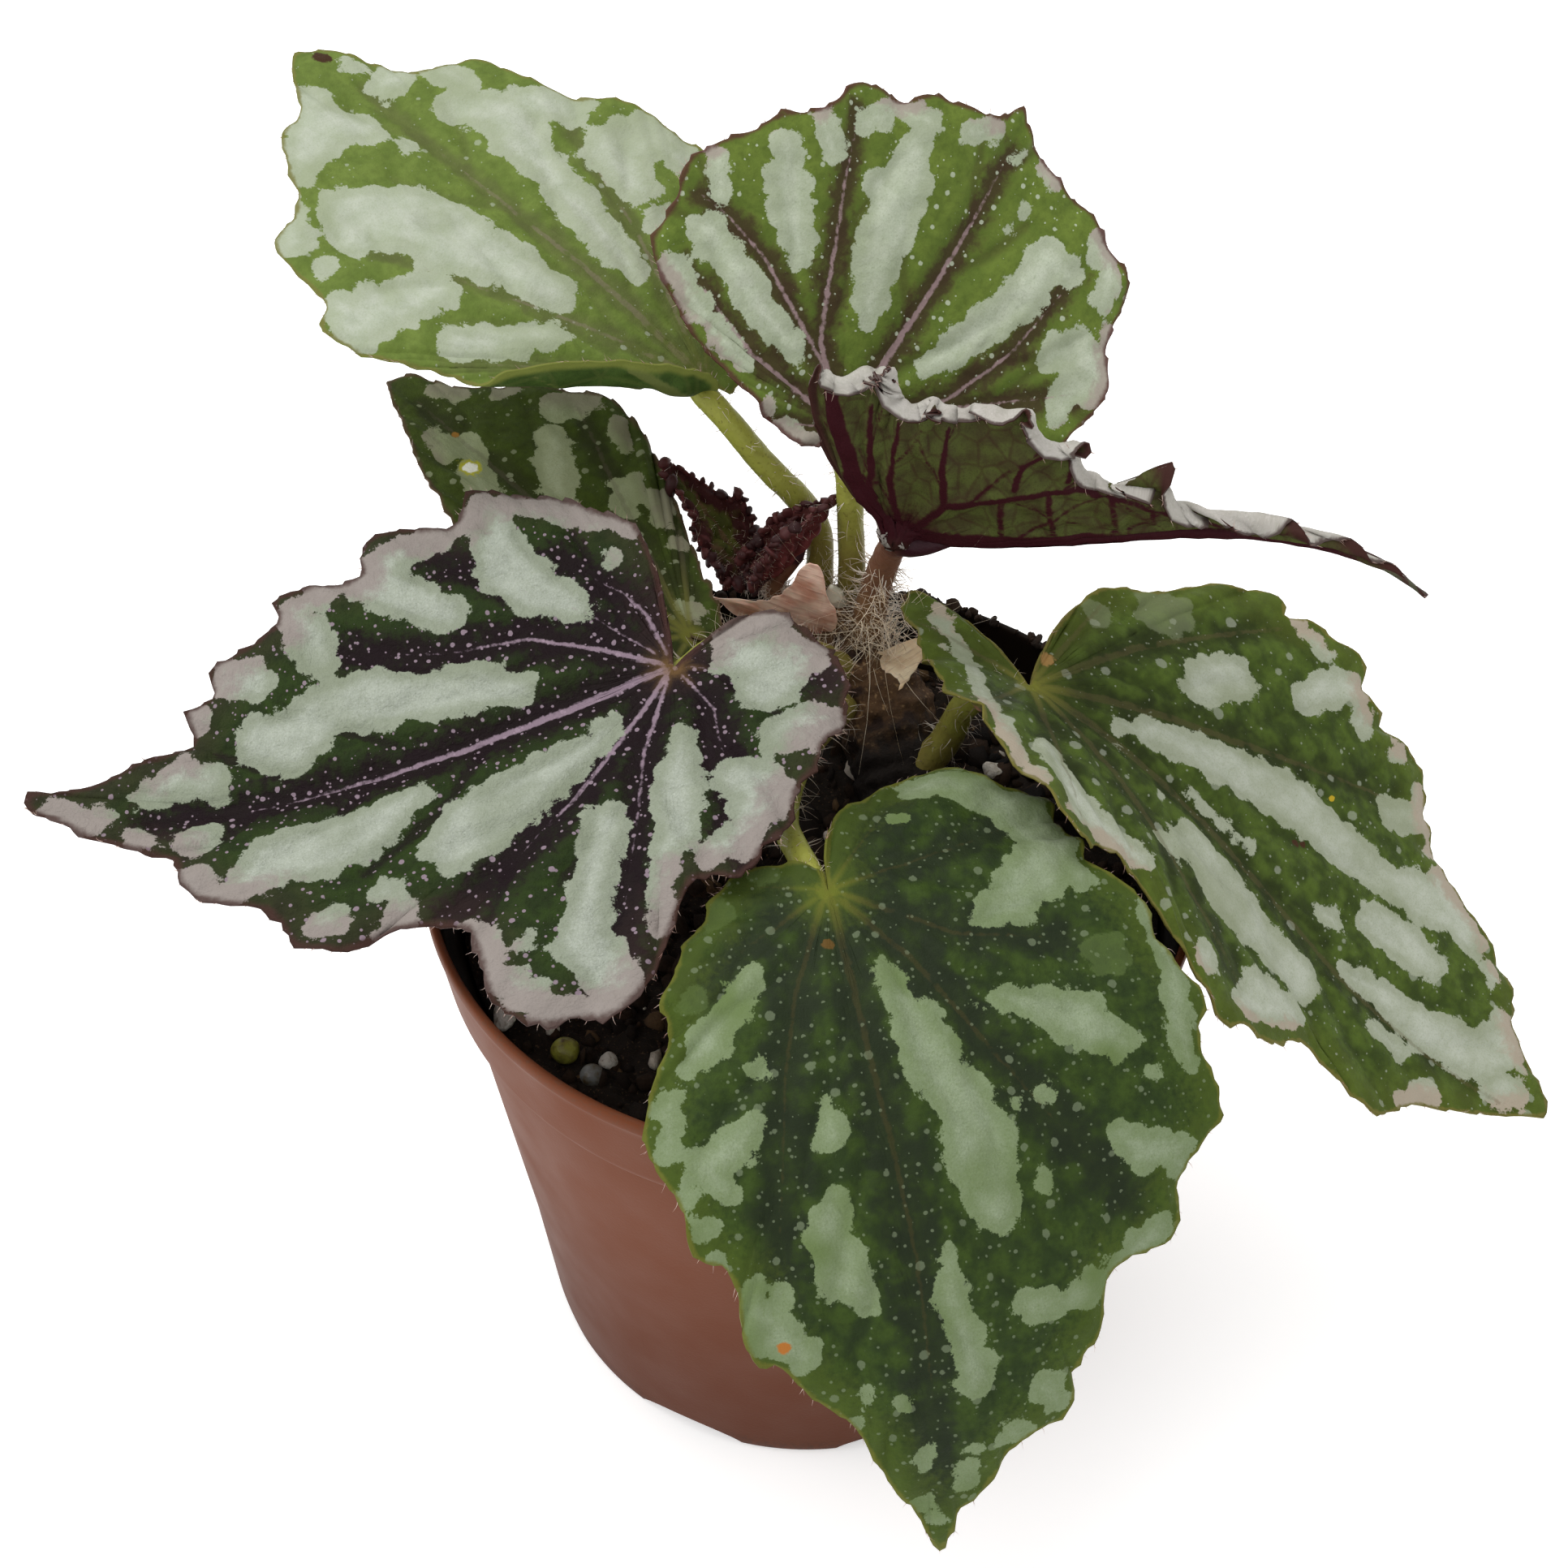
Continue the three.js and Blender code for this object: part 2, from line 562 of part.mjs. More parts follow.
function soilSolid() {
  const bandFoot = POT_HEIGHT - RIM_BAND_HEIGHT;
  const top = wallRadius(bandFoot - 1.5) - POT_WALL - SEAT_GAP;
  const profile = [
    [0, POT_FLOOR + SEAT_GAP], [wallRadius(4) - POT_WALL - 3, POT_FLOOR + SEAT_GAP],
    [wallRadius(8) - POT_WALL - 0.5, 8], [top, bandFoot - 0.4],
    [top, SOIL_TOP - 0.3], [42, SOIL_TOP + 0.2], [30, SOIL_TOP],
    [16, SOIL_TOP], [0, SOIL_TOP],
  ].map(([x, y]) => new THREE.Vector2(x, y));
  const body = new THREE.LatheGeometry(profile, POT_SIDES).rotateX(Math.PI / 2);
  const place = body.attributes.position;
  for (let k = 0; k < place.count; k++) {
    const [x, y, z] = [place.getX(k), place.getY(k), place.getZ(k)];
    const inside = Math.hypot(x, y) < SOIL_REACH && z > SOIL_TOP - 1;
    if (inside) place.setZ(k, z + soilHeight(x, y));
  }
  let soil = toSolid(body);
  const random = seededRandom(GRAINS.seed);
  for (let i = 0; i < GRAINS.count; i++) {
    const turn = 2 * Math.PI * random();
    const reach = SOIL_REACH * Math.sqrt(random());
    const size = lerp(GRAINS.smallest, GRAINS.largest, random());
    const grain = new THREE.IcosahedronGeometry(size, 0).rotateX(random() * 3);
    const [x, y] = [reach * Math.cos(turn), reach * Math.sin(turn)];
    grain.translate(x, y, SOIL_TOP + soilHeight(x, y) + size * 0.25);
    soil = soil.add(toSolid(grain));
  }
  return soil;
}

// ---------- putting it together ----------
function rhizomeTube() {
  return toSolid(tubeGeometry(RHIZOME.points, RHIZOME.radii, 10, 12, RHIZOME.ringBulge));
}

// The hollow in the soil that the creeping stem lies in.
function rhizomeBed() {
  const radii = RHIZOME.radii.map((radius) => radius + RHIZOME.ringBulge + SEAT_GAP);
  const end = new THREE.IcosahedronGeometry(radii[0] * BED_END_ROOM, 1).translate(...RHIZOME.points[0]);
  return toSolid(tubeGeometry(RHIZOME.points, radii, 10, 12)).add(toSolid(end));
}

function rhizomeSolid() {
  const bud = tubeGeometry(RHIZOME.bud.points, RHIZOME.bud.radii, 8, 5);
  let rhizome = rhizomeTube().add(toSolid(bud));
  for (const leaf of [...Object.values(LEAVES), ...Object.values(YOUNG_LEAVES)]) {
    rhizome = rhizome.subtract(stalkSolid(leaf, SEAT_GAP));
  }
  for (const scale of Object.values(STIPULES)) {
    const room = bladeGeometry(scale, SMALL_BLADE_RINGS, SMALL_BLADE_SPOKES, SEAT_GAP);
    const foot = new THREE.IcosahedronGeometry(SCALE_FOOT_ROOM, 1).translate(...scale.at);
    rhizome = rhizome.subtract(toSolid(room)).subtract(toSolid(foot));
  }
  return largestBody(rhizome);
}

function piece(name, solid, colour, roughness) {
  const material = new THREE.MeshStandardMaterial({ color: COLOURS[colour], roughness, metalness: 0 });
  const mesh = new THREE.Mesh(toGeometry(solid), material);
  mesh.name = name;
  return mesh;
}

const plant = new THREE.Group();
plant.name = 'potted_rex_begonia';
plant.add(piece('pot', potSolid(), 'pot', 0.45));
plant.add(piece('soil', soilSolid().subtract(rhizomeBed()), 'soil', 1));
plant.add(piece('rhizome', rhizomeSolid(), 'rhizome', 0.9));
for (const [name, leaf] of Object.entries(LEAVES)) {
  plant.add(piece(name, leafSolid(leaf, BLADE_RINGS, BLADE_SPOKES), leaf.colour, 0.6));
}
for (const [name, leaf] of Object.entries({ ...YOUNG_LEAVES, ...STIPULES })) {
  plant.add(piece(name, leafSolid(leaf, SMALL_BLADE_RINGS, SMALL_BLADE_SPOKES), leaf.colour, 0.8));
}

export default plant;
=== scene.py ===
# %% [markdown]
# # A rex begonia in its nursery pot
# A small houseplant: seven grown leaves on hairy stalks, two young ones, a creeping stem, dark soil and a thin
# plastic pot. The hard part is the leaves. Each is a thin blistered sheet, bent its own way, with silver blotches
# that have ragged borders. The plan is to bend a fine sheet in code over the same curves as the CAD solid, to
# store what lies where on it as numbers at its points, and to let the material draw crisp borders from them.

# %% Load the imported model
import math

import bmesh
import bpy
import numpy as np
from mathutils import Matrix, Vector


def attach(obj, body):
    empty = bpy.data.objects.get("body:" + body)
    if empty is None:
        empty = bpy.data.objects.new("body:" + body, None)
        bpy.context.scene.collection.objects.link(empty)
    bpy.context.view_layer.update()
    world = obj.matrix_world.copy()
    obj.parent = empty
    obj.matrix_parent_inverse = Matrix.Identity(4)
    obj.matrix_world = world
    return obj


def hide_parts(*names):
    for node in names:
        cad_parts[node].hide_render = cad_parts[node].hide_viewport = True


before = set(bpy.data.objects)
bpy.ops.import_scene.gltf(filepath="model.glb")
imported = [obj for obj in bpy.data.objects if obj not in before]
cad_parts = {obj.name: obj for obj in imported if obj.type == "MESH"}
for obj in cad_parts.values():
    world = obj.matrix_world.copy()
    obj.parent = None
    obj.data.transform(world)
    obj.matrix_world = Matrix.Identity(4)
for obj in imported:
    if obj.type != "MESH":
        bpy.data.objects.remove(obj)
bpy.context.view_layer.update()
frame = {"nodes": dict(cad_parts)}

MM = 0.001
print("nodes:", ", ".join(frame["nodes"]))

# %% [markdown]
# ## Camera
# A photograph fixes where the camera stood. Here the pot's rim and foot, both circles of known size, gave the
# place, the tilt and the focal length. Blender's camera looks along its own -Z, so its matrix is made from three
# directions: to the right, up, and backwards.

# %% Camera
PHOTO_SIZE = 1932
FOCAL_LENGTH = 3200  # in pixels of the photograph
SENSOR = 36.0
CAMERA_PLACE = (0, -239, 349)  # in millimetres from the middle of the pot's foot
yaw, tilt, roll = (math.radians(a) for a in (-0.9, 45.85, 0.4))
forward = Vector((math.sin(yaw) * math.cos(tilt), math.cos(yaw) * math.cos(tilt), -math.sin(tilt)))
level = Vector((math.cos(yaw), -math.sin(yaw), 0))
upward = level.cross(forward)
right = level * math.cos(roll) + upward * math.sin(roll)
above = upward * math.cos(roll) - level * math.sin(roll)

camera_data = bpy.data.cameras.new("camera")
camera_data.sensor_width = SENSOR
camera_data.lens = SENSOR * FOCAL_LENGTH / PHOTO_SIZE
camera = bpy.data.objects.new("camera", camera_data)
turn = Matrix((right, above, -forward)).transposed().to_4x4()
camera.matrix_world = Matrix.Translation(Vector(CAMERA_PLACE) * MM) @ turn
bpy.context.scene.collection.objects.link(camera)
bpy.context.scene.camera = camera
print(f"lens {camera_data.lens:.2f} mm")

# %% [markdown]
# ## Floor and light
# The plant stands in a white studio, lit from above and a little from the left, with hardly a shadow. A white
# world fills the shadows from all sides, and one large soft lamp overhead makes the upper faces brighter than
# those that hang down towards us.

# %% Floor, world and lamps
bpy.context.scene.view_settings.view_transform = "Standard"


def paint(red, green, blue):
    """A colour as a painter's program shows it, 0 to 255, as the linear light that Blender counts in."""
    shares = (red / 255, green / 255, blue / 255)
    return tuple(((c + 0.055) / 1.055) ** 2.4 if c > 10 / 255 else c / 12.92 for c in shares) + (1,)


world = bpy.data.worlds.new("studio")
bpy.context.scene.world = world
world.use_nodes = True
sky = world.node_tree.nodes["Background"]
sky.inputs["Color"].default_value = (1, 1, 1, 1)
sky.inputs["Strength"].default_value = 0.8


def lamp(name, place, aim, size, watts, colour=(1, 1, 1)):
    data = bpy.data.lights.new(name, "AREA")
    data.shape, data.size, data.energy, data.color = "DISK", size, watts, colour
    thing = bpy.data.objects.new(name, data)
    thing.location = place
    thing.rotation_euler = (Vector(aim) - Vector(place)).to_track_quat("-Z", "Y").to_euler()
    bpy.context.scene.collection.objects.link(thing)


lamp("overhead", (-0.35, 0.25, 1.3), (0, 0, 0.1), 1.3, 10, (1, 0.99, 0.97))
lamp("window", (-1.0, -0.35, 0.7), (0, 0, 0.08), 1.0, 3)

FLOOR_HALF, FLOOR_LEVEL = 4.0, -0.0002  # in metres; a hair under the pot's foot
floor_corners = [(x * FLOOR_HALF, y * FLOOR_HALF, FLOOR_LEVEL) for x, y in ((-1, -1), (1, -1), (1, 1), (-1, 1))]
floor_mesh = bpy.data.meshes.new("floor")
floor_mesh.from_pydata(floor_corners, [], [(0, 1, 2, 3)])
floor = bpy.data.objects.new("floor", floor_mesh)
bpy.context.scene.collection.objects.link(floor)
floor_paint = bpy.data.materials.new("studio_floor")
floor_paint.use_nodes = True
floor_shader = floor_paint.node_tree.nodes["Principled BSDF"]
for socket, value in (("Base Color", (0.93, 0.93, 0.93, 1)), ("Roughness", 0.8),
                      ("Emission Color", (1, 1, 1, 1)), ("Emission Strength", 0.4)):
    floor_shader.inputs[socket].default_value = value
floor_mesh.materials.append(floor_paint)

# %% [markdown]
# ## A short way to write materials
# A material in Blender is a net of nodes. Each finish below needs the same few: numbers stored at the mesh's
# points, noise, cells, a soft step and a mix. A small class gives them short names, so that a finish reads as a
# recipe. Every pattern is placed by a stored point in millimetres, so it stays on the surface in every view.

# %% A finish and its nodes


class Finish:
    def __init__(self, name, roughness=0.5, specular=0.5):
        self.material = bpy.data.materials.new(name)
        self.material.use_nodes = True
        self.tree = self.material.node_tree
        self.shader = self.tree.nodes["Principled BSDF"]
        self.shader.inputs["Roughness"].default_value = roughness
        self.shader.inputs["Specular IOR Level"].default_value = specular

    def link(self, value, socket):
        if isinstance(value, bpy.types.NodeSocket):
            self.tree.links.new(value, socket)
        else:
            socket.default_value = value

    def node(self, kind, inputs, output=0, **settings):
        made = self.tree.nodes.new("ShaderNode" + kind)
        for key, value in settings.items():
            setattr(made, key, value)
        for key, value in inputs.items():
            self.link(value, made.inputs[key])
        return made.outputs[output]

    def stored(self, name):
        return self.node("Attribute", {}, "Fac", attribute_name=name)

    def place(self):
        return self.node("Attribute", {}, "Vector", attribute_name="place")

    def math(self, operation, a, b=0.0):
        return self.node("Math", {0: a, 1: b}, operation=operation)

    def add(self, value, other, times):
        """The value plus so many times the other one."""
        return self.math("ADD", value, self.math("MULTIPLY", other, times))

    def ragged(self, value, noise, amount):
        """The value moved up and down by a noise, so that a border drawn from it comes out ragged."""
        return self.add(value, self.math("SUBTRACT", noise, 0.5), amount)

    def grain(self, per_mm, detail=2.0, rough=0.5, place=None):
        inputs = {"Vector": place or self.place(), "Scale": per_mm, "Detail": detail, "Roughness": rough}
        return self.node("TexNoise", inputs, "Fac")

    def cells(self, per_mm, output="Distance", feature="F1"):
        inputs = {"Vector": self.place(), "Scale": per_mm}
        return self.node("TexVoronoi", inputs, output, feature=feature, voronoi_dimensions="2D")

    def step(self, value, low, high):
        inputs = {"Value": value, "From Min": low, "From Max": high}
        return self.node("MapRange", inputs, interpolation_type="SMOOTHSTEP")

    def mix(self, share, a, b, mode="MIX"):
        return self.node("Mix", {0: share, 6: a, 7: b}, 2, data_type="RGBA", blend_type=mode)

    def coat(self, colour, share, strength, top):
        """A second colour laid over the first, where the share says, at most as dense as the strength."""
        return self.mix(self.math("MULTIPLY", share, strength), colour, top)

    def colour(self, value):
        self.link(value, self.shader.inputs["Base Color"])

    def bump(self, height, millimetres, strength=1.0):
        inputs = {"Height": height, "Distance": millimetres * MM, "Strength": strength}
        self.link(self.node("Bump", inputs), self.shader.inputs["Normal"])

    def glow(self, weight, reach=None):
        """Lets light spread inside: how much of it, and how far for red, green and blue, in metres."""
        self.shader.inputs["Subsurface Weight"].default_value = weight
        if reach:
            self.shader.inputs["Subsurface Radius"].default_value = reach


print("finish helper ready")

# %% [markdown]
# ## A short way to make pieces
# Every piece is made from sheets of points in millimetres, their faces, and numbers stored at the points. One
# function turns them into a Blender object, shades it smooth, hides the CAD node it stands for and lets it ride
# on the model's one body.

# %% Piece from sheets
BODY = "root"


def store(mesh, key, values):
    """Keep one number, or one point, at each point of the mesh."""
    values = np.asarray(values, dtype="f")
    kind, field = ("FLOAT", "value") if values.ndim == 1 else ("FLOAT_VECTOR", "vector")
    mesh.attributes.new(key, kind, "POINT").data.foreach_set(field, values.ravel())


def stand_for(piece, node=None):
    """Put a piece on the model's body, and hide the CAD node that it replaces."""
    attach(piece, BODY)
    if node:
        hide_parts(node)


def make_piece(name, sheets, finishes, node=None):
    """Sheets are (points, faces or several blocks of faces, stored numbers, index of the finish)."""
    points = np.concatenate([s[0] for s in sheets])
    mesh = bpy.data.meshes.new(name)
    faces, finish_of, start = [], [], 0
    for sheet_points, blocks, _, finish in sheets:
        for block in blocks if isinstance(blocks, tuple) else (blocks,):
            faces += (np.asarray(block) + start).tolist()
        finish_of += [finish] * (len(faces) - len(finish_of))
        start += len(sheet_points)
    mesh.from_pydata((points * MM).tolist(), [], faces)
    mesh.polygons.foreach_set("use_smooth", [True] * len(faces))
    mesh.polygons.foreach_set("material_index", finish_of)
    for key in sorted({key for s in sheets for key in s[2]} - {"place"}):
        store(mesh, key, np.concatenate([s[2].get(key, np.zeros(len(s[0]))) for s in sheets]))
    store(mesh, "place", np.concatenate([s[2].get("place", s[0]) for s in sheets]))
    for finish in finishes:
        mesh.materials.append(finish.material)
    mesh.validate()
    piece = bpy.data.objects.new(name, mesh)
    bpy.context.scene.collection.objects.link(piece)
    stand_for(piece, node)
    print(f"{name}: {len(points)} points, {len(faces)} faces")

# %% [markdown]
# ## Soft random waves
# Leaves, soil and stem all need gentle unevenness. A handful of cosine waves in random directions, added up,
# gives a smooth field that repeats nowhere and is the same in every run, because its random numbers have a seed.

# %% Random waves


def ripples(points, wavelength, seed, waves=14):
    rng = np.random.default_rng(seed)
    points = np.asarray(points, dtype=float)
    directions = rng.normal(size=(waves, points.shape[-1]))
    directions /= np.linalg.norm(directions, axis=1)[:, None]
    rates = 2 * np.pi / wavelength * rng.uniform(0.6, 1.5, waves)
    phases = rng.uniform(0, 2 * np.pi, waves)
    return np.cos(points @ (directions * rates[:, None]).T + phases).sum(-1) * math.sqrt(2 / waves) / 2


def smooth(values, low, high):
    f = np.clip((values - low) / (high - low), 0, 1)
    return f * f * (3 - 2 * f)


print("ripple sample:", round(float(ripples([[1.0, 2.0]], 5, 1)[0]), 3))

# %% [markdown]
# ## The pot
# A thin nursery pot is one turned shape: a tapered wall, a stepped rim band with a rounded lip, and a foot with
# drain holes and low arches so that water can leave. A profile spun round the axis gives it, and each corner of
# the profile is rounded first, because moulded plastic has no sharp edge that would look so hard in the light.

# %% Pot profile
POT_HEIGHT, POT_BASE, POT_RIM, POT_WALL = 92, 39, 52.5, 1.3
BAND_HEIGHT, BAND_STEP, POT_FLOOR = 10.5, 1.6, 2
BAND_FOOT = POT_HEIGHT - BAND_HEIGHT
OUTER_BAND = POT_HEIGHT - 14.5  # outside, the band reaches lower than the step inside


def wall_radius(height):
    return POT_BASE + (POT_RIM - BAND_STEP - POT_BASE) * height / POT_HEIGHT


def rounded(profile, radius, steps=4):
    """Each inner corner of a line of points becomes a short curve."""
    profile = [np.array(p, dtype=float) for p in profile]
    result = [profile[0]]
    for before, corner, after in zip(profile, profile[1:], profile[2:]):
        reach = [min(radius, np.linalg.norm(p - corner) * 0.45) for p in (before, after)]
        a = corner + (before - corner) / np.linalg.norm(before - corner) * reach[0]
        b = corner + (after - corner) / np.linalg.norm(after - corner) * reach[1]
        for f in np.linspace(0, 1, steps + 1):
            result.append((1 - f) ** 2 * a + 2 * f * (1 - f) * corner + f * f * b)
    return np.array(result + [profile[-1]])


inner = wall_radius(BAND_FOOT) - POT_WALL
pot_profile = [
    (0, 0.9), (POT_BASE - 5, 0.9), (POT_BASE - 4.2, 0), (POT_BASE + 0.5, 0), (POT_BASE + 0.9, 1.8),
    (wall_radius(26), 26), (wall_radius(54), 54), (wall_radius(OUTER_BAND - 1.2), OUTER_BAND - 1.2),
    (POT_RIM - 1.8, OUTER_BAND + 0.8), (POT_RIM - 0.35, POT_HEIGHT - 2.6), (POT_RIM, POT_HEIGHT - 1.8),
    (POT_RIM - 0.1, POT_HEIGHT - 0.3), (POT_RIM - 0.7, POT_HEIGHT), (POT_RIM - POT_WALL, POT_HEIGHT - 0.3),
    (POT_RIM - POT_WALL - 0.4, BAND_FOOT + 1.6), (inner, BAND_FOOT + 0.6),
    (wall_radius(4) - POT_WALL, POT_FLOOR + 1.4), (wall_radius(4) - POT_WALL - 1.4, POT_FLOOR), (0, POT_FLOOR),
]
pot_profile = rounded(pot_profile, 1.1)
print("profile points:", len(pot_profile))

# %% Spin the profile


def spin(profile, segments):
    """Points and faces of a profile turned round Z. Points on the axis are shared."""
    turns = np.arange(segments) * 2 * np.pi / segments
    points, rows = [], []
    for radius, height in profile:
        if radius < 1e-6:
            rows.append([len(points)] * segments)
            points.append((0, 0, height))
        else:
            rows.append(list(range(len(points), len(points) + segments)))
            points += [(radius * math.cos(t), radius * math.sin(t), height) for t in turns]
    faces = []
    for low, high in zip(rows, rows[1:]):
        for j in range(segments):
            k = (j + 1) % segments
            face = [low[j], low[k], high[k], high[j]]
            faces.append([v for n, v in enumerate(face) if v not in face[:n]])
    return np.array(points), faces


def raw_mesh(name, points, faces):
    mesh = bpy.data.meshes.new(name)
    mesh.from_pydata((np.asarray(points) * MM).tolist(), [], [list(f) for f in faces])
    return mesh


POT_SIDES = 192
pot_points, pot_faces = spin(pot_profile, POT_SIDES)
pot_mesh = raw_mesh("pot_body", pot_points, pot_faces)
pot = bpy.data.objects.new("pot_body", pot_mesh)
bpy.context.scene.collection.objects.link(pot)
print("pot faces before the holes:", len(pot_mesh.polygons))

# %% Drain holes and foot arches
HOLES, HOLE_RADIUS, HOLE_CIRCLE = 8, 3.5, 25
NOTCHES, NOTCH_WIDTH, NOTCH_HEIGHT, NOTCH_TURN = 8, 17, 3.4, 0.349
cutter_mesh = bmesh.new()
for i in range(HOLES):
    turn = 2 * math.pi * (i + 0.5) / HOLES
    at = Matrix.Translation(Vector((HOLE_CIRCLE * math.cos(turn), HOLE_CIRCLE * math.sin(turn), 0)) * MM)
    bmesh.ops.create_cone(cutter_mesh, cap_ends=True, segments=32, radius1=HOLE_RADIUS * MM,
                          radius2=HOLE_RADIUS * MM, depth=10 * MM, matrix=at)
for i in range(NOTCHES):
    turn = Matrix.Rotation(2 * math.pi * i / NOTCHES + NOTCH_TURN, 4, "Z")
    lay = Matrix.Diagonal((1, 1, NOTCH_HEIGHT / (NOTCH_WIDTH / 2), 1)) @ Matrix.Rotation(math.pi / 2, 4, "Y")
    bmesh.ops.create_cone(cutter_mesh, cap_ends=True, segments=40, radius1=NOTCH_WIDTH / 2 * MM,
                          radius2=NOTCH_WIDTH / 2 * MM, depth=9 * MM,
                          matrix=turn @ Matrix.Translation((POT_BASE * MM, 0, 0)) @ lay)
cutter_data = bpy.data.meshes.new("pot_cutter")
cutter_mesh.to_mesh(cutter_data)
cutter_mesh.free()
cutter = bpy.data.objects.new("pot_cutter", cutter_data)
bpy.context.scene.collection.objects.link(cutter)
cut = pot.modifiers.new("openings", "BOOLEAN")
cut.operation, cut.solver, cut.object = "DIFFERENCE", "EXACT", cutter
bpy.context.view_layer.update()
cut_mesh = bpy.data.meshes.new_from_object(pot.evaluated_get(bpy.context.evaluated_depsgraph_get()))
pot.modifiers.clear()
pot.data = cut_mesh
bpy.data.objects.remove(cutter)
print("pot faces with the holes:", len(cut_mesh.polygons))

# %% [markdown]
# The plastic is a reddish brown polypropylene with a soft sheen. Real ones are never one flat colour: the pigment
# is a little cloudy, the wall has a fine orange-peel skin, and soil dust clings to the rim and the foot.

# %% Pot plastic
pot_finish = Finish("brown_plastic", roughness=0.45, specular=0.06)
cloud = pot_finish.grain(0.03, 2)
speck = pot_finish.grain(1.4, 4, 0.7)
height_up = pot_finish.stored("height")
dust = pot_finish.math("MULTIPLY", pot_finish.step(height_up, 88.0, 92.0), pot_finish.step(speck, 0.5, 0.62))
scuff = pot_finish.math("MULTIPLY", pot_finish.step(height_up, 5.0, 0.5), pot_finish.step(speck, 0.44, 0.58))
dirt_and_shade_mask = pot_finish.add(pot_finish.stored("dirt_and_shade"), speck, 0.9)
plastic = pot_finish.mix(cloud, paint(102, 56, 34), paint(105, 58, 36))
# painted shade: the wall is painted darker towards the foot, where less light reaches it
plastic = pot_finish.coat(plastic, pot_finish.step(height_up, 70.0, 0.0), 0.8, paint(80, 42, 26))
plastic = pot_finish.coat(plastic, dust, 0.55, paint(92, 62, 46))
plastic = pot_finish.coat(plastic, scuff, 0.6, paint(58, 40, 32))
# nearly black where soil clings to the rim behind the stalks, and painted shade on the inner wall above the soil
plastic = pot_finish.mix(pot_finish.step(dirt_and_shade_mask, 0.8, 1.0), plastic, paint(26, 19, 14))
pot_finish.colour(plastic)
pot_finish.link(pot_finish.step(pot_finish.grain(0.1, 2), -2.0, 3.0), pot_finish.shader.inputs["Roughness"])
pot_finish.bump(pot_finish.grain(2.2, 2), 0.05, 0.5)
print("plastic ready")

# %% What is stored on the pot
DIRTY_SIDE = 72  # degrees: soil sticks to the rim behind the stalks
cut_mesh.polygons.foreach_set("use_smooth", np.ones(len(cut_mesh.polygons), bool))
pot_places = np.array([v.co for v in cut_mesh.vertices]) / MM
pot_x, pot_y, pot_z = pot_places.T
pot_radius, pot_turn = np.hypot(pot_x, pot_y), np.degrees(np.arctan2(pot_y, pot_x))
# painted shade: the inner wall above the soil is painted darker the deeper it lies in the pot
inner_wall_shade = smooth(pot_radius, POT_RIM - 0.5, POT_RIM - 1.4) * smooth(pot_z, 91.8, 89) * (pot_z > 80)
back_dirt = smooth(np.abs(pot_turn - DIRTY_SIDE), 50, 34) * smooth(pot_z, 88, 91)
store(cut_mesh, "place", pot_places)
store(cut_mesh, "height", pot_z)
store(cut_mesh, "dirt_and_shade", np.maximum(inner_wall_shade, back_dirt))
cut_mesh.materials.append(pot_finish.material)
cut_mesh.set_sharp_from_angle(angle=math.radians(40))
stand_for(pot, "pot")
print("pot height", pot_z.max(), "mm")

# %% [markdown]
# ## The soil
# Potting soil is a heap of crumbs: dark peat, bits of bark, white perlite and round feed grains. One fine uneven
# surface gives the ground, and some 1700 separate crumbs on it give the rough silhouette that a bump in the
# material can't. Each crumb is a small ball of faces whose points are pushed about at random.

# %% Soil ground
SOIL_TOP, SEAT_GAP = 82, 0.35


def soil_height(x, y):
    slow = 0.5 * np.sin(x * 0.31 + 1) * np.cos(y * 0.27) + 0.35 * np.sin(x * 0.7 + y * 0.5)
    spots = np.stack([x, y], -1)
    return SOIL_TOP + slow + 0.35 * ripples(spots, 4.5, 11) + 0.22 * ripples(spots, 1.8, 12)


soil_edge = wall_radius(BAND_FOOT - 1.5) - POT_WALL - SEAT_GAP
soil_profile = [
    (0, POT_FLOOR + SEAT_GAP), (wall_radius(4) - POT_WALL - 3, POT_FLOOR + SEAT_GAP),
    (wall_radius(8) - POT_WALL - 0.5, 8), (soil_edge, BAND_FOOT - 0.4), (soil_edge, SOIL_TOP - 0.3),
] + [(r, SOIL_TOP) for r in np.linspace(soil_edge - 0.5, 0, 100)]
soil_points, soil_faces = spin(soil_profile, 260)
on_top = soil_points[:, 2] > SOIL_TOP - 0.1
soil_points[on_top, 2] = soil_height(soil_points[on_top, 0], soil_points[on_top, 1])

soil_finish = Finish("damp_peat", roughness=0.85, specular=0.35)
peat = soil_finish.mix(soil_finish.grain(0.9, 5, 0.7), paint(14, 11, 9), paint(62, 48, 36))
peat = soil_finish.mix(soil_finish.step(soil_finish.grain(2.4, 2), 0.62, 0.7), peat, paint(104, 82, 58))
soil_finish.colour(peat)
soil_finish.bump(soil_finish.grain(1.6, 6, 0.8), 0.9)
print("soil points:", len(soil_points))

# %% [markdown]
# A crumb, a grain or a bead is the same little ball, stretched, dented and turned. A crowd of them is one sheet,
# so it costs no more than one object. The ground's own faces have three or four corners, and a block of faces may
# hold only one kind, so they are sorted by their corners before they are joined with the crumbs.

# %% One dented ball and many


def ball(level):
    """Points and faces of a round ball made of small triangles."""
    made = bmesh.new()
    bmesh.ops.create_icosphere(made, subdivisions=level, radius=1)
    points = np.array([v.co[:] for v in made.verts])
    faces = np.array([[v.index for v in f.verts] for f in made.faces])
    made.free()
    return points, faces


def turned(points, rng):
    """Points under a random turn."""
    q = rng.normal(size=4)
    w, x, y, z = q / np.linalg.norm(q)
    turn = np.array([
        [1 - 2 * (y * y + z * z), 2 * (x * y - z * w), 2 * (x * z + y * w)],
        [2 * (x * y + z * w), 1 - 2 * (x * x + z * z), 2 * (y * z - x * w)],
        [2 * (x * z - y * w), 2 * (y * z + x * w), 1 - 2 * (x * x + y * y)]])
    return points @ turn.T


